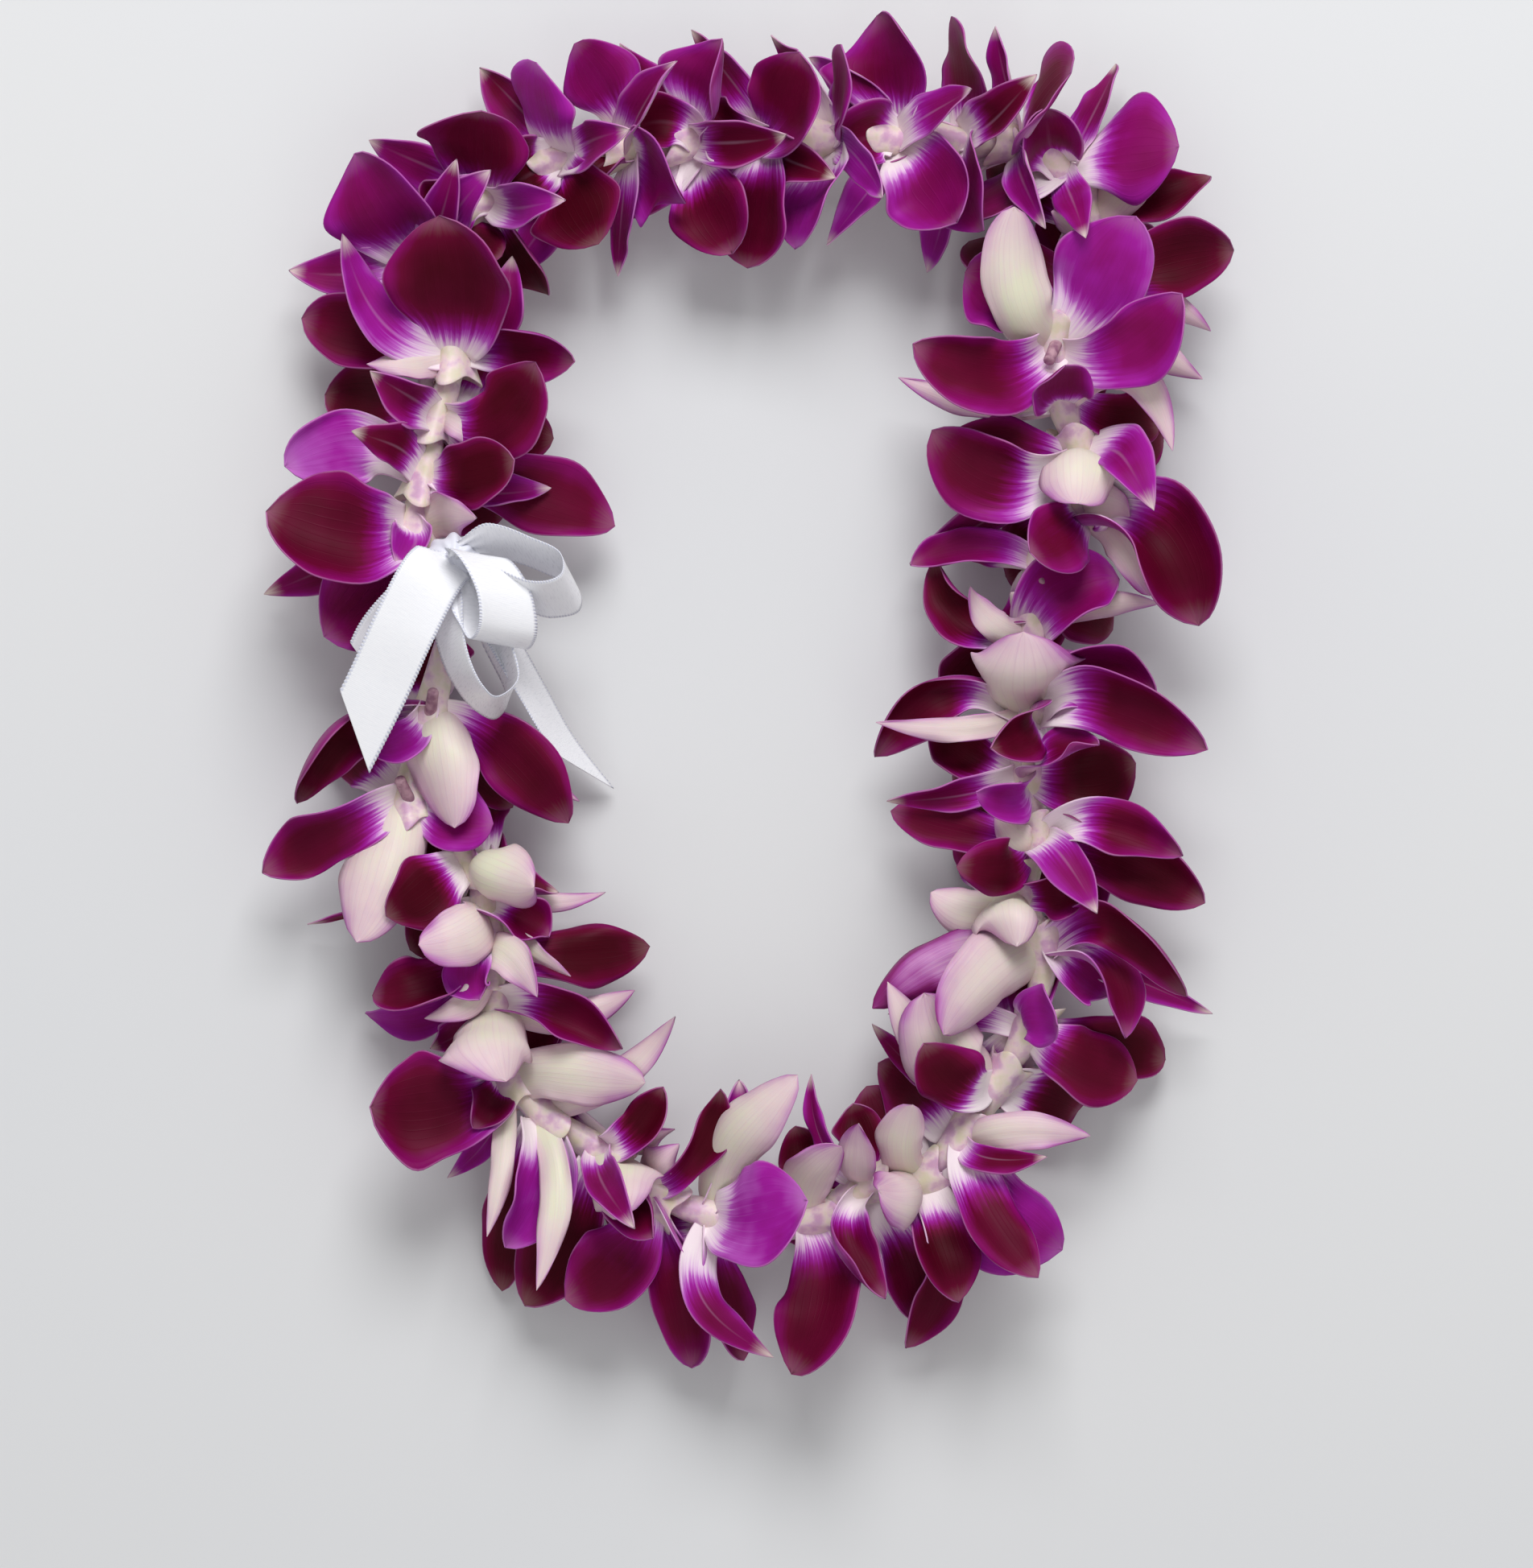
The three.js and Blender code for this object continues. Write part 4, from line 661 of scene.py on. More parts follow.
# The tepals of each visible flower, with an empty line between flowers. Each has its kind, bearing in
# degrees from +x toward +y, rise in degrees, reach in mm from throat to tip, turn in degrees about its own
# length (0 shows the inner face upward, 180 the back), arch in mm upward, sway in mm to the left, width in
# mm, and how deep its colour is from 0 to 1.
TEPAL_TABLE = """
petal 128 35 42 0 5 4 32 0.35; sepal 92 36 34 -15 3 0 11 0.4; sepal 50 34 39 10 4 3 14 0.1;
sepal 186 8 42 0 3 2 14 0.4; petal 59 0 42 20 3 0 23 0.9; petal 10 -8 30 15 3 0 20 0.8

petal 96 36 48 0 4 0 36 0.8; sepal 133 25 52 -10 3 7 14 0.15; petal 356 15 39 -20 5 3 18 0.5;
petal 167 -12 48 0 3 0 23 0.7; sepal 189 26 28 170 3 0 11 0.4; sepal 46 7 34 0 4 -5 13 0.5

petal 24 33 41 15 5 -9 24 0.85; sepal 150 43 29 0 4 -2 13 0.6; petal 170 -16 37 0 2 0 22 0.9;
petal 349 -6 36 0 3 0 17 1; sepal 334 34 22 175 2 0 10 0.5

petal 177 8 42 0 4 -6 22 0; sepal 150 40 31 -10 4 -4 12 0.8; petal 6 38 39 10 5 0 19 0.95;
sepal 354 25 42 40 5 -5 12 0.35; petal 345 -2 59 0 4 3 21 0.6

petal 175 31 47 0 4 6 34 0.75; sepal 204 -9 51 0 2 2 12 0.6; petal 232 16 45 0 5 5 29 0.45;
sepal 3 37 27 180 3 0 13 0.5; curl 249 41 18 0 2 0 10 0.1

hood 282 26 39 180 5 -2 21 0.3; petal 342 12 55 -15 6 4 20 0.75; fin 215 3 49 20 4 -5 15 0.95;
sepal 328 1 52 165 3 -3 7 0.4; petal 309 -13 40 0 3 0 14 0.9; fin 212 17 24 0 3 0 12 0.1

hood 252 19 48 180 5 3 22 0.2; fin 229 5 49 25 5 4 15 0.6; petal 342 27 31 10 4 0 21 0.2;
petal 268 -17 33 0 3 0 22 0.9

cup 338 48 30 180 5 0 18 0; petal 215 18 32 0 5 3 20 0.95; curl 339 12 28 50 4 -3 9 1;
sepal 346 -3 41 175 3 -5 6 0.4; sepal 222 -6 54 40 3 2 6 0.8

fin 326 36 34 10 4 3 17 0.55; hood 231 50 31 180 5 2 16 0.35; petal 210 -9 27 0 3 0 17 1;
curl 322 17 35 120 3 0 5 0.1

fin 263 59 26 -10 4 0 14 0.15; sepal 325 52 33 175 6 5 11 0.35; fin 206 0 53 20 4 8 11 0.2;
fin 219 13 37 -20 4 5 14 0.75; petal 3 7 49 15 5 -3 17 1; sepal 226 30 28 180 3 3 8 0.3

hood 282 48 35 180 6 0 24 0.15; fin 343 19 43 10 4 4 15 0.6; sepal 0 0 42 178 3 -2 10 0.35;
sepal 213 -20 24 0 2 0 12 0.6

petal 191 19 45 0 3 4 31 0.75; hood 358 26 44 180 5 4 16 0.2; curl 4 1 41 0 3 -3 7 0.9;
sepal 239 2 35 30 3 4 8 0.2; fin 235 27 20 0 3 0 10 0.7; sepal 263 20 50 175 5 4 7 0.05

fin 255 17 44 15 4 3 18 0.05; sepal 269 20 56 170 6 8 9 0.05; sepal 5 10 51 178 4 -3 9 0.45;
petal 257 -9 58 0 3 0 16 1

cup 290 54 33 180 5 0 20 0; curl 299 42 31 20 4 0 8 0.5; petal 245 -8 52 0 4 4 22 0.95;
fin 45 25 30 0 4 -4 12 0.95; sepal 16 12 24 170 4 0 8 0.5

fin 266 63 26 -25 4 0 12 0.6; petal 230 10 41 10 4 8 23 0.55; fin 296 1 53 0 4 5 16 0.55;
sepal 62 45 24 178 3 0 11 0.6; fin 301 -15 36 30 3 0 10 0.95; fin 44 13 40 0 4 -6 9 0.95

hood 59 27 55 180 5 5 17 0.15; petal 12 45 41 0 4 0 31 0; sepal 294 16 47 30 7 -9 11 0.5;
petal 282 -1 45 10 4 0 15 0.6; curl 79 1 41 20 4 0 9 0.4

petal 272 21 47 0 5 3 26 0.7; hood 66 29 31 180 4 3 14 0.4; petal 97 -6 28 0 3 0 16 0.95;
fin 302 -35 16 0 3 0 11 0.9

sepal 114 19 39 25 5 5 7 0.4; sepal 92 47 32 178 4 0 11 0.6; fin 282 32 39 20 6 -5 12 0.65;
fin 293 -1 44 0 4 0 14 0.6; petal 95 -11 25 0 3 0 14 0.95

cup 191 62 31 180 6 4 17 0.5; hood 94 39 34 180 5 3 13 0.1; fin 273 6 51 10 5 5 13 0.7;
fin 289 19 40 0 5 -3 16 0.9; petal 324 -22 25 0 3 0 17 1

sepal 2 24 41 170 6 5 11 0.5; petal 312 16 47 0 5 -5 27 0.15; fin 299 4 47 10 5 -6 14 0.65;
sepal 350 42 34 0 4 -2 8 0.7; petal 276 -16 33 0 3 0 14 0.9

petal 151 45 38 0 5 4 19 0.85; sepal 137 23 50 178 6 6 14 0.1; hood 129 36 43 178 7 6 23 0.3;
sepal 154 4 41 20 4 5 9 0.6; sepal 184 -3 21 0 3 0 11 0.4

petal 336 11 36 0 4 0 22 0.8; petal 18 58 22 20 4 3 17 0.1; sepal 174 -4 42 30 3 0 9 0.9;
petal 347 -7 43 0 3 0 19 0.95

fin 185 17 57 160 7 -8 12 0.7; hood 197 28 45 180 6 -3 22 0.35; fin 342 29 48 0 8 10 14 0.8;
fin 313 20 38 10 5 6 12 0.5; sepal 339 3 54 0 4 3 7 0.5; petal 323 12 24 10 4 3 19 0.25

cup 260 61 28 180 5 0 16 0; hood 200 32 32 178 5 6 13 0.1; fin 3 38 25 0 4 -4 11 0.75;
petal 212 -25 21 0 3 0 17 0.9

petal 168 6 45 15 4 4 14 0.6; petal 195 42 37 0 5 5 16 0.85; fin 355 24 47 -10 6 9 13 0.55;
fin 340 3 53 10 5 6 16 0.85; sepal 309 44 33 5 5 0 13 0.35; sepal 145 52 24 178 4 0 11 0.2

fin 196 56 30 10 3 3 11 0.15; sepal 190 12 43 10 4 3 10 0.6; petal 6 19 34 0 4 0 23 1;
fin 47 46 35 60 5 4 10 0.5; fin 153 -5 32 0 3 0 15 0.85; petal 181 -17 24 0 3 0 17 0.8

cup 98 52 35 178 5 0 29 0.35; fin 195 9 49 15 7 -14 15 0.75; sepal 184 22 49 165 5 5 7 0.4;
fin 347 14 51 0 6 6 18 0.6; fin 36 20 40 10 5 5 18 0.45; fin 221 57 31 30 4 3 14 0.8

fin 30 30 34 0 4 4 21 0.3; fin 145 11 36 10 4 4 13 0.95; sepal 148 38 31 160 4 2 9 0.5;
sepal 11 4 39 176 4 4 8 0.4; petal 292 -24 22 0 3 0 14 0.9

fin 6 34 27 0 4 2 12 1; fin 180 -1 39 0 4 -4 12 0.4; petal 159 -17 30 0 3 0 14 0.9

fin 315 19 50 10 7 12 25 0.8; petal 217 46 33 0 5 3 21 0.55; hood 309 7 32 178 6 6 11 0.5;
hood 358 37 17 178 4 2 14 0.3

hood 266 60 30 180 6 0 20 0.15; petal 201 26 50 0 5 6 24 0.65; petal 173 14 41 10 5 -4 16 0.6;
sepal 321 41 34 0 6 4 15 0.3; sepal 212 -8 60 10 4 3 10 0.5

petal 91 65 29 10 3 0 18 0.4; sepal 172 2 49 170 5 4 8 0.5; sepal 334 21 39 170 8 12 10 0.3;
fin 168 -8 29 0 4 2 11 0.95; petal 340 -11 32 0 3 0 16 0.9

hood 108 33 48 180 5 3 19 0; petal 58 22 48 0 4 -3 27 0.1; petal 140 19 37 0 4 -3 25 0.35;
fin 188 27 49 0 6 8 18 0.6; petal 21 31 47 -10 6 -6 21 0.3

sepal 340 -5 37 170 4 0 10 0.4; sepal 321 -10 42 178 3 0 11 0.3; petal 156 -4 41 0 4 0 20 0.9;
petal 16 7 43 0 5 3 23 0.85; petal 37 -2 24 0 4 0 19 0.8

sepal 64 26 37 180 5 -2 14 0.3; petal 118 30 28 0 4 0 29 0.6; fin 19 6 39 0 4 -3 11 0.9;
sepal 175 69 26 178 3 0 12 0.35; petal 124 -10 35 0 3 0 14 1
"""
hand_placed = [
    [(kind, *map(float, values)) for kind, *values in map(str.split, flower.split(";"))]
    for flower in TEPAL_TABLE.split("\n\n")
]


def usual_width(bloom, name, salt):
    return KINDS[name]["width"] * (0.76 + 0.3 * draw(bloom.number, salt))


def arch_rows(bloom):
    """Tepals of a flower behind the neck: five in a star round its axis, and the lip below."""
    spin = 70 * (draw(bloom.number, 1) - 0.5)
    lean = math.radians(28 + 30 * draw(bloom.number, 9))
    axis = bloom.along * math.cos(lean) + bloom.over * math.sin(lean)
    back = bloom.over * math.cos(lean) - bloom.along * math.sin(lean)
    rows = []
    star = [("sepal", 0), ("petal", 64), ("petal", -64), ("sepal", 138), ("sepal", -138), ("lip", 180)]
    for place, (name, azimuth) in enumerate(star):
        around = math.radians(azimuth + spin + 16 * (draw(bloom.number, place + 2) - 0.5))
        opened = math.radians(40 if name == "lip" else 62 + 22 * draw(bloom.number, place + 12))
        radial = back * math.cos(around) + bloom.side * math.sin(around)
        direction = axis * math.cos(opened) + radial * math.sin(opened)
        inner = axis * math.sin(opened) - radial * math.cos(opened)
        side = UP.cross(direction).normalized()
        over = direction.cross(side)
        bearing = math.degrees(math.atan2(direction.y, direction.x))
        rise = math.degrees(math.asin(max(-1.0, min(1.0, direction.z))))
        turn = math.degrees(math.atan2(inner.dot(side), inner.dot(over)))
        reach = 20 if name == "lip" else 35 + 5 * draw(bloom.number, place + 22)
        width = usual_width(bloom, name, place + 101)
        tone = draw(bloom.number, place + 201)
        rows.append((name, bearing, max(-22.0, min(48.0, rise)), reach, turn, 3, 0, width, tone))
    return rows


def low_rows(bloom, rows, level):
    """Tepals under the others, each in the widest gap that is left between them."""
    bearings = [row[1] % 360 for row in rows if row[2] < 25] or [0]
    low = []
    resting = level == REST_LEVEL
    for place in range(max(TEPALS_PER_BLOOM - len(rows), 1 if resting else 0)):
        bearings.sort()
        widest, middle = 0, 0
        for index, bearing in enumerate(bearings):
            following = bearings[index + 1] if index + 1 < len(bearings) else bearings[0] + 360
            if following - bearing > widest:
                widest = following - bearing
                middle = bearing + widest / 2
        if resting and place == 0:
            low.append(("petal", middle % 360, -38, 37, 0, -7, 0, KINDS["petal"]["width"], 0.8))
        else:
            turn = 50 * (draw(bloom.number, place + 71) - 0.5)
            reach = 29 + 7 * draw(bloom.number, place + 81)
            width = usual_width(bloom, "under", place + 111)
            low.append(("under", middle % 360, -26, reach, turn, 2, 0, width, 0.8))
        bearings.append(middle % 360)
    return low


class Blade:
    """One tepal: where it starts and ends, its width, its turn and its bend."""

    def __init__(self, bloom, row, count, level):
        self.name, bearing, rise, reach, self.turn, self.arch, self.sway, width, self.tone = row
        self.kind = KINDS[self.name]
        direction = heading(bearing, rise)
        outward = (direction - SET_ACROSS * bloom.along.dot(direction) * bloom.along).normalized()
        self.root = bloom.point + outward * ROOT_DISTANCE
        self.full_tip = bloom.point + direction * reach
        self.full_width = WIDTH_MARGIN * width / math.cos(math.radians(self.kind["fold"]))
        uneven = [2 * draw(bloom.number, count + salt) - 1 for salt in (11, 21)]
        self.folds = [self.kind["fold"] + self.kind["uneven"] * share for share in uneven]
        self.twist = TWIST_SPREAD * (draw(bloom.number, count + 31) - 0.5)
        self.bow = BOW_SPREAD * (draw(bloom.number, count + 41) - 0.5)
        self.flick = FLICK_SPREAD * (draw(bloom.number, count + 131) - 0.5)
        self.skew = SKEW_SPREAD * (draw(bloom.number, count + 141) - 0.5)
        self.sway += SWAY_SPREAD * (draw(bloom.number, count + 151) - 0.5)
        self.loose = 0.0 if (bloom.number, count) in LYING_CLOSE else 1.0
        self.roll = ROLL_SPREAD * (draw(bloom.number, count + 311) - 0.45)
        self.tip_curl = TIP_CURL_SPREAD * (draw(bloom.number, count + 321) - 0.5)
        self.phase = 2 * math.pi * draw(bloom.number, count + 51)
        self.level = level
        self.settle(1, 0, 0)

    def settle(self, shrink, swing, lift):
        """The blade swung round, lifted and shortened to lie clear of its neighbours."""
        reach = self.full_tip - self.root
        reach.rotate(Quaternion(UP, math.radians(swing)))
        tip = self.root + reach * shrink
        tip.z = max(tip.z + lift, self.level)
        self.tip = tip
        self.width = self.full_width * (0.4 + 0.6 * shrink)
        self.chord = self.tip - self.root
        self.side = UP.cross(self.chord).normalized()
        self.over = self.chord.normalized().cross(self.side)
        self.bend = self.over * self.arch + self.side * self.sway

    def outline(self, u):
        """Half the width at u as a share of the widest."""
        root = self.kind["claw"] * (1 - u) ** 1.5
        full = max(0.0, math.sin(math.pi * u ** self.kind["peak"])) ** self.kind["full"]
        return root + (1 - root) * full

    def section(self, u):
        """What points at u share: the middle, the ways across and out of the inner face, half the width."""
        whole_turn = 2 * math.pi * u
        middle = self.root + self.chord * u + self.bend * (4 * u * (1 - u) * (1.2 - 0.4 * u))
        middle = middle + self.over * (self.bow * math.sin(whole_turn) + self.flick * u ** 4)
        slope = 4 * (1 - 2 * u) * (1.2 - 0.4 * u) - 1.6 * u * (1 - u)
        lean = self.over * (self.bow * 2 * math.pi * math.cos(whole_turn) + 4 * self.flick * u ** 3)
        tangent = (self.chord + self.bend * slope + lean).normalized()
        turn = math.radians(self.turn + self.twist * u)
        face = self.over * math.cos(turn) + self.side * math.sin(turn)
        face = (face - tangent * tangent.dot(face)).normalized()
        return middle, tangent.cross(face), face, 0.5 * self.width * self.outline(u)

    def point(self, u, v, section=None, more=0.0, wider=1.0):
        """The place at u along and v across, from -1 to 1, kept off the surface that the lei lies on."""
        middle, across, face, half = section or self.section(u)
        half = half * wider * (1 + self.skew * v)
        along_wave = 2 * math.pi * WAVES_ALONG * u + self.phase
        ripple = math.sin(along_wave + WAVE_SLANT * v) * math.sin(math.pi * u)
        fold = math.radians(self.folds[0 if v < 0 else 1]) * abs(v) * (FOLD_AT_ROOT - FOLD_LOST * u)
        rise = half * abs(v) * math.sin(fold) + self.kind["wave"] * ripple * v * v + more
        spot = middle + across * (half * v * math.cos(fold)) + face * rise
        sunk = (spot.z - self.level) / FLOOR_SOFTNESS
        spot.z = self.level + FLOOR_SOFTNESS * (math.log1p(math.exp(sunk)) if sunk < 30 else sunk)
        return spot


# Every way to lay a tepal, from the least moved on. A swing of 7 degrees counts for as much as a lift of
# 5 mm or as the loss of a twenty-fifth of the length.
settlings = []
for shrink in (1, 0.88, 0.76, 0.62):
    for swing in (0, 7, -7, 14, -14, 22, -22, 32, -32):
        for lift in (0, 4, -4, 8, -8, 12, -12, 17, 22):
            settlings.append((abs(swing) / 7 + abs(lift) / 5 + (1 - shrink) * 25, shrink, swing, lift))
settlings.sort(key=lambda entry: entry[0])


def on_corners(blade, corners):
    """How many points of the blade's tip and rim lie on corners of the solid, and how many there are."""
    checks = RIM_CHECKS.get(blade.name, USUAL_CHECKS)
    spots = [blade.point(1, 0)] + [blade.point(u, v) for u in checks for v in (-1, 1)]
    seen = [spot for spot in spots if spot.z > CUT_OFF_UNDER]
    found = [spot for spot in seen if corners.find((spot + TO_FRAME) * MM)[2] < CLOSE_ENOUGH * MM]
    return len(found), len(seen)


def settled(blade, corners):
    """Lays the blade where its whole tip and rim lie on corners, or else where most of them do, because a
    neighbour in the flower can hide some."""
    best = None
    most = FEWEST_CORNERS - 1
    for _, shrink, swing, lift in settlings:
        blade.settle(shrink, swing, lift)
        found, seen = on_corners(blade, corners)
        if found == seen > 2:
            return True
        if found > most:
            most = found
            best = (shrink, swing, lift)
    if best:
        blade.settle(*best)
    return best is not None


USUAL_WIDTH = 30
FRILL_HEIGHT = 0.6
RIB_DEPTH = 0.2
RIB_HALF_WIDTH = 0.12
ROLLED_FROM = 0.62
CURLED_FROM = 0.6
ROOT_WIDENING = 0.45
WIDE_ROOT_UNTIL = 0.34


def past(share, start):
    """0 up to start, and 1 at the end."""
    return max(0.0, share - start) / (1 - start)


def add_blade(form, blade, layers, shade):
    """A grid laid on the blade's surface, with its place along and across as its UV map. Its white root is
    wider than the solid's, its rim is rolled and frilled, and its midrib is a fine groove."""
    grid = bmesh.ops.create_grid(form, x_segments=16, y_segments=28, size=0.5, calc_uvs=True)["verts"]
    uv, tone, seed, pale = layers
    flat_place = {corner: (corner.co.x * 2, corner.co.y + 0.5) for corner in grid}
    sections = {}
    for corner, (v, u) in flat_place.items():
        key = round(u, 4)
        if key not in sections:
            sections[key] = blade.section(min(1.0, max(0.0, u)))
        bulge = math.sin(math.pi * u)
        waves = math.sin(9.5 * u + 2.3 * blade.phase) + 0.6 * math.sin(21 * u + 5 * blade.phase + 2 * v)
        frill = FRILL_HEIGHT * waves * bulge * abs(v) ** 4
        rolled = blade.roll * bulge * past(abs(v), ROLLED_FROM) ** 2 * blade.width / USUAL_WIDTH
        curled = blade.tip_curl * past(u, CURLED_FROM) ** 2 * blade.width / USUAL_WIDTH
        rib = -RIB_DEPTH * math.exp(-(v / RIB_HALF_WIDTH) ** 2) * math.sin(math.pi * min(1.0, u * 1.1))
        raised = blade.loose * (frill + rolled + curled) + rib * (1 - 0.5 * u)
        wider = 1 + ROOT_WIDENING * max(0.0, 1 - u / WIDE_ROOT_UNTIL) ** 2
        wider += (0.05 * math.sin(8.5 * u + 3 * blade.phase + v) + 0.03 * math.sin(17 * u - 2 * v)) * bulge
        spot = blade.point(u, v, sections[key], raised, wider)
        spot.z = max(spot.z, LOWEST)
        corner.co = (spot + TO_FRAME) * MM
        corner[tone], corner[seed], corner[pale] = shade
    for face in {face for corner in grid for face in corner.link_faces}:
        face.material_index = blade.kind["finish"]
        for loop in face.loops:
            v, u = flat_place[loop.vert]
            loop[uv].uv = (u, 0.5 + 0.5 * v)


# Colours of a tepal's inner face from its white root to its wine-dark middle, and of its back from the
# greenish root to the tinted rim.
INNER_COLOURS = [
    (0.0, hue(240, 228, 232)), (0.1, hue(222, 184, 222)), (0.19, hue(184, 92, 190)),
    (0.31, hue(156, 28, 150)), (0.48, hue(130, 8, 94)), (0.7, hue(98, 3, 44)), (1.0, hue(68, 0, 19)),
]
BACK_COLOURS = [
    (0.0, hue(222, 220, 196)), (0.16, hue(224, 210, 202)), (0.36, hue(220, 196, 200)),
    (0.56, hue(208, 172, 192)), (0.74, hue(188, 124, 182)), (0.88, hue(160, 68, 150)),
    (1.0, hue(130, 24, 104)),
]

TEPAL_VALUES = ("tone", "seed", "pale")
VEINS_ACROSS = 13


def tepal_marks(start):
    """What both faces are coloured by: places on the tepal, its own values, streaks and clouds."""
    place = start.node("ShaderNodeUVMap")
    along, across = place.axis(0), place.axis(1)
    tone, seed, pale = (
        start.node("ShaderNodeAttribute", {"attribute_name": key}, output=2) for key in TEPAL_VALUES
    )
    drift = start.node("ShaderNodeCombineXYZ", None, {
        0: along * 1.8 + seed * 9, 1: across * 22, 2: seed * 5,
    })
    streak = drift.noise(1.0, 4.0)
    wander = drift.noise(0.3, 1.0)
    spot = start.node("ShaderNodeTexCoord", output="Object")
    cloud = spot.noise(70.0, 2.0)
    grain = spot.noise(2400.0, 1.0)
    lines = abs(((across + (wander - 0.5) * 0.1) * (math.pi * VEINS_ACROSS)).sine())
    vein = (1 - lines.from_to(0.0, 0.3)) * along.from_to(0.02, 0.2)
    return along, abs(across * 2 - 1), tone, pale, streak, cloud, grain, vein


def inner_finish(name, pale_root, mid_line, pale_tip, pale_rim, depth):
    """White at the root, streaked with lilac, then deep magenta that is darkest in the middle."""
    material, shader, start = finish_of(name, {"Specular IOR Level": 0.08})
    along, edge, tone, pale, streak, cloud, grain, vein = tepal_marks(start)
    grown = (along + (streak - 0.5) * 0.26 - edge * 0.05 - pale).from_to(-0.06, pale_root + 0.12)
    bump = along.from_to(0.12, 0.55) * (1 - along.from_to(0.72, 1.1)) * (1 - edge.from_to(0.35, 1.1))
    middle = 0.24 + tone * (0.3 * depth) + bump * (0.06 + tone * (0.46 * depth))
    body = grown * (middle + (cloud - 0.5) * 0.3 + (streak - 0.5) * 0.08)
    body = body - vein * (1 - along.from_to(0.2, 0.7)) * 0.05
    colour = start.node("ShaderNodeValToRGB", {"stops": INNER_COLOURS}, {"Fac": body})
    line = (1 - edge.from_to(0.0, 0.1)) * (1 - along.from_to(0.35, 0.95)) * mid_line
    tip = (along + (streak - 0.5) * 0.08).from_to(0.86, 1.0) * (1 - edge.from_to(0.3, 1.0) * 0.5) * pale_tip
    rim = (edge + (cloud - 0.5) * 0.06).from_to(1.0 - pale_rim, 1.02) * 0.55
    colour = line.tint(colour, hue(226, 190, 222))
    colour = rim.tint(colour, hue(206, 140, 196))
    colour = tip.tint(colour, hue(228, 218, 204))
    put(shader.inputs["Base Color"], colour)
    put(shader.inputs["Roughness"], 0.44 + cloud * 0.14)
    add_relief(shader, 0.3, 0.0003, streak * 0.4 + vein * 0.6 + grain * 0.1)
    return material


def back_finish(name, shift):
    """Cream to pale pink, veined from end to end, and tinted toward the rim and the tip."""
    material, shader, start = finish_of(name, {
        "Specular IOR Level": 0.3, "Subsurface Weight": 0.1, "Subsurface Scale": 0.0012,
    })
    along, edge, tone, pale, streak, cloud, grain, vein = tepal_marks(start)
    body = along * 0.16 + edge.from_to(0.3, 1.05) * 0.34 + tone * 0.44 + (cloud - 0.5) * 0.5
    body = body + along.from_to(0.5, 1.0) * 0.26 + (streak - 0.5) * 0.26 + (vein * 0.04 + (shift - 0.04))
    colour = start.node("ShaderNodeValToRGB", {"stops": BACK_COLOURS}, {"Fac": body})
    colour = (vein * streak * 0.14).tint(colour, hue(178, 122, 160))
    put(shader.inputs["Base Color"], colour)
    put(shader.inputs["Roughness"], 0.38 + cloud * 0.14)
    add_relief(shader, 0.3, 0.0003, streak * 0.7 + vein * 0.25 + grain * 0.1)
    return material


tepal_finishes = [
    inner_finish("petal_inside", 0.2, 0.0, 0.1, 0.035, 1.0),
    back_finish("petal_outside", 0.3),
    inner_finish("sepal_inside", 0.24, 0.16, 0.8, 0.1, 0.75),
    back_finish("sepal_outside", 0.0),
    inner_finish("lip_inside", 0.24, 0.05, 0.1, 0.06, 1.2),
    back_finish("lip_outside", 0.35),
]

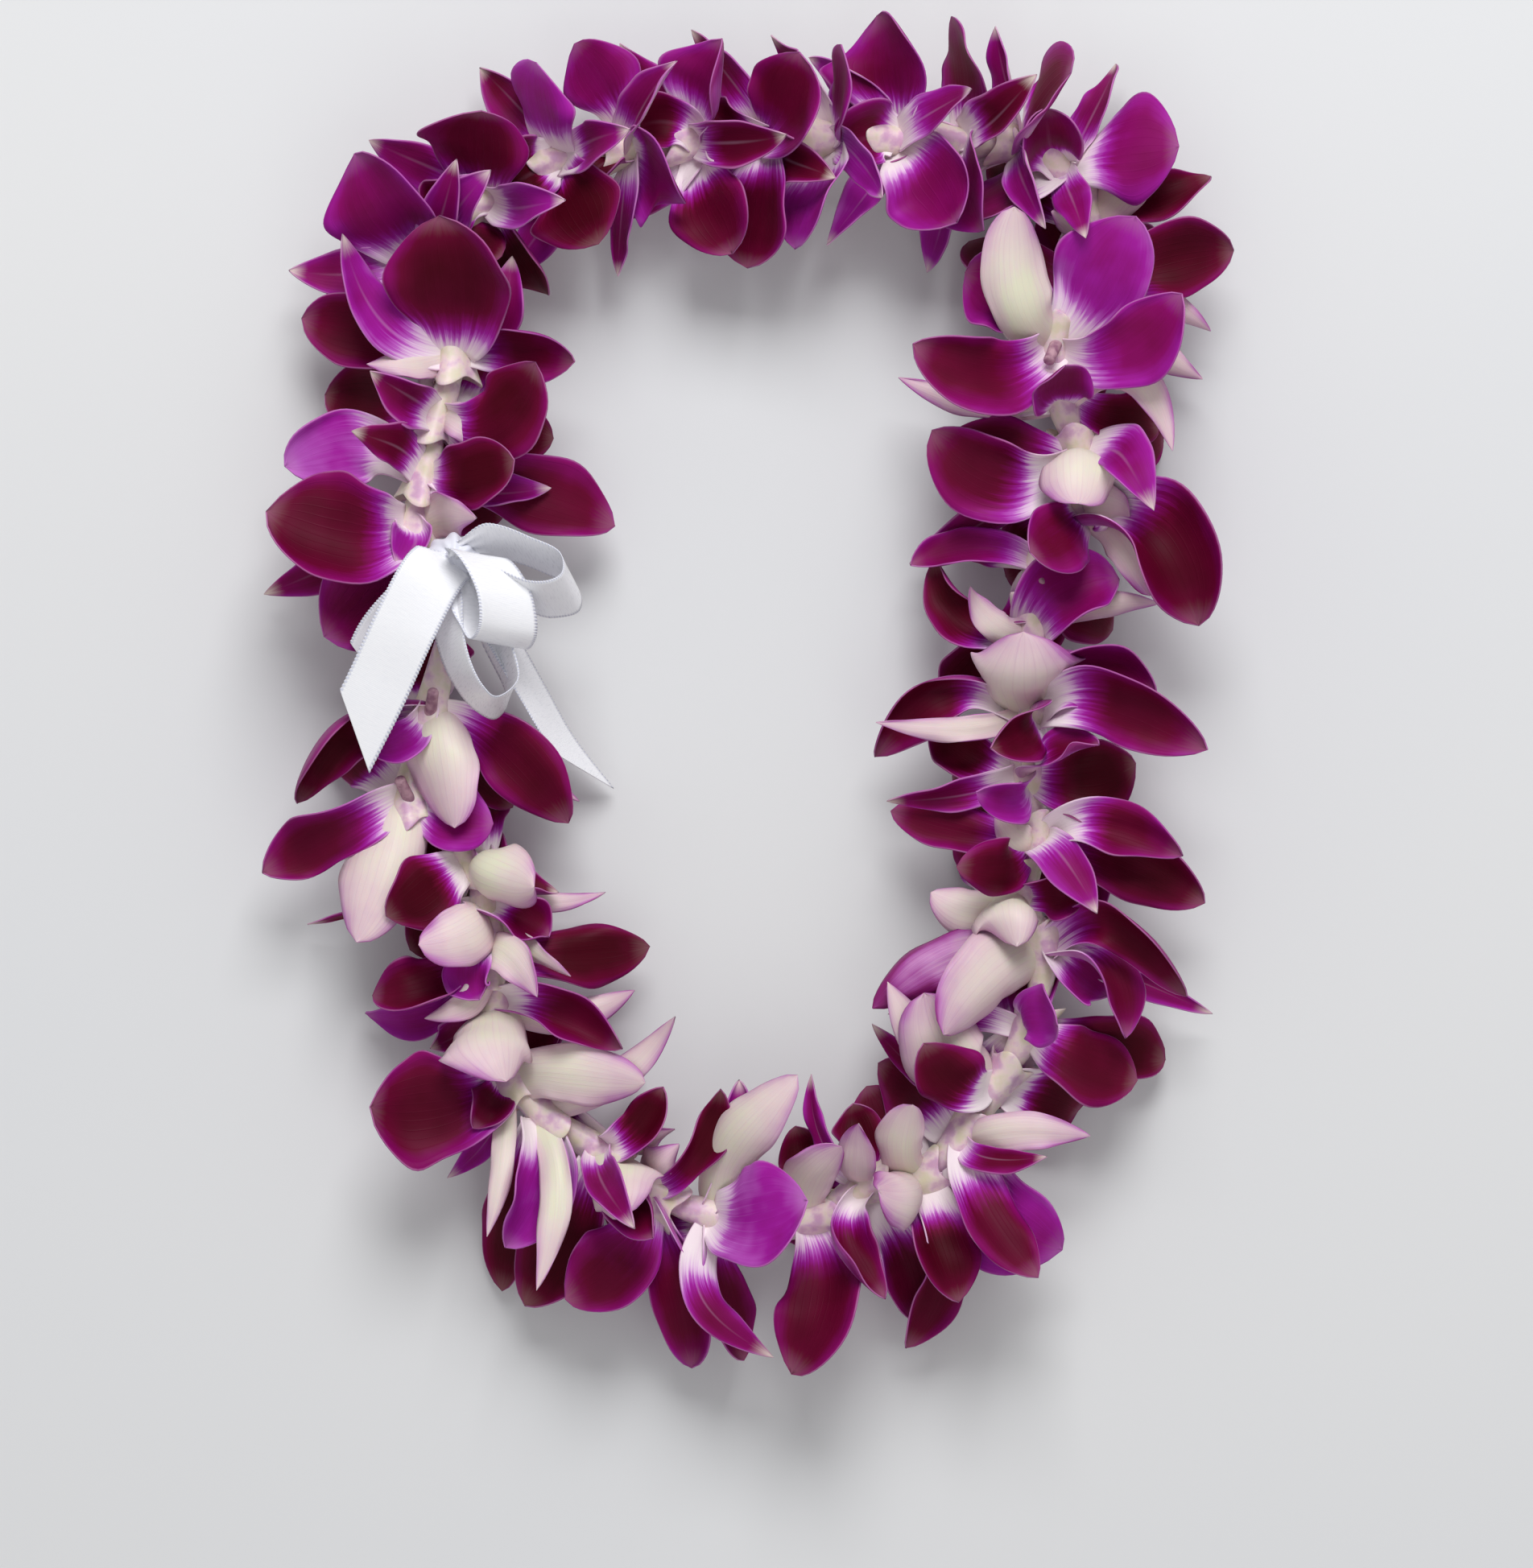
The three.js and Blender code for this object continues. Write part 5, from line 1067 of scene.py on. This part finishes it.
for bloom in blooms:
    name = f"bloom_{bloom.number:02d}"
    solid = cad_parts[name]
    corners = KDTree(len(solid.data.vertices))
    for index, vertex in enumerate(solid.data.vertices):
        corners.insert(vertex.co, index)
    corners.balance()
    level = REST_LEVEL if bloom.number % REST_EVERY == 0 else FLOOR_LEVEL
    rows = hand_placed[bloom.number - 1] if bloom.number <= len(hand_placed) else arch_rows(bloom)
    form = bmesh.new()
    marks = [form.verts.layers.float.new(key) for key in TEPAL_VALUES]
    layers = [form.loops.layers.uv.verify(), *marks]
    placed = [(row, FLOOR_LEVEL) for row in rows] + [(row, level) for row in low_rows(bloom, rows, level)]
    for count, (row, floor) in enumerate(placed):
        blade = Blade(bloom, row, count, floor)
        if settled(blade, corners):
            pale = PALE_SPREAD * draw(bloom.number, count + 301)
            add_blade(form, blade, layers, (blade.tone, draw(bloom.number, count + 241), pale))
    tepals = new_piece(f"{name}_tepals", form, tepal_finishes, "petals", name)
    thicken(tepals, TEPAL_THICKNESS, slots_to_back=1)

# Table and light
# A plain pale table under the lei, a large soft lamp beyond its upper end, and a weak one over its lower
# end.
TABLE_HALF = 3.0
TABLE_TOP = -0.0002
ROOM_LIGHT = 0.42

table = bpy.data.meshes.new("table")
form = bmesh.new()
bmesh.ops.create_grid(form, x_segments=1, y_segments=1, size=TABLE_HALF)
form.to_mesh(table)
form.free()
table_top = bpy.data.objects.new("table", table)
table_top.location = (0, 0, TABLE_TOP)
bpy.context.scene.collection.objects.link(table_top)
paint, paint_shader, start = finish_of("pale_table", {"Roughness": 0.6})
cloud = start.node("ShaderNodeTexCoord", output="Object").noise(3.0, 2.0)
put(paint_shader.inputs["Base Color"], cloud.tint(hue(214, 216, 220), hue(221, 221, 221)))
table.materials.append(paint)


def add_lamp(name, place, size, watts):
    """A square soft lamp, turned toward the middle of the lei."""
    lamp = bpy.data.lights.new(name, "AREA")
    lamp.size = size
    lamp.energy = watts
    holder = bpy.data.objects.new(name, lamp)
    holder.location = place
    holder.rotation_euler = (Vector((0, 0, 0)) - Vector(place)).to_track_quat("-Z", "Y").to_euler()
    bpy.context.scene.collection.objects.link(holder)


add_lamp("window", (0.1, 1.3, 1.5), 1.0, 31)
add_lamp("room", (0.3, -1.2, 1.7), 1.8, 6)
world = bpy.data.worlds.new("soft_room")
world.use_nodes = True
background = world.node_tree.nodes["Background"]
background.inputs["Color"].default_value = (1.0, 1.0, 1.0, 1.0)
background.inputs["Strength"].default_value = ROOM_LIGHT
bpy.context.scene.world = world
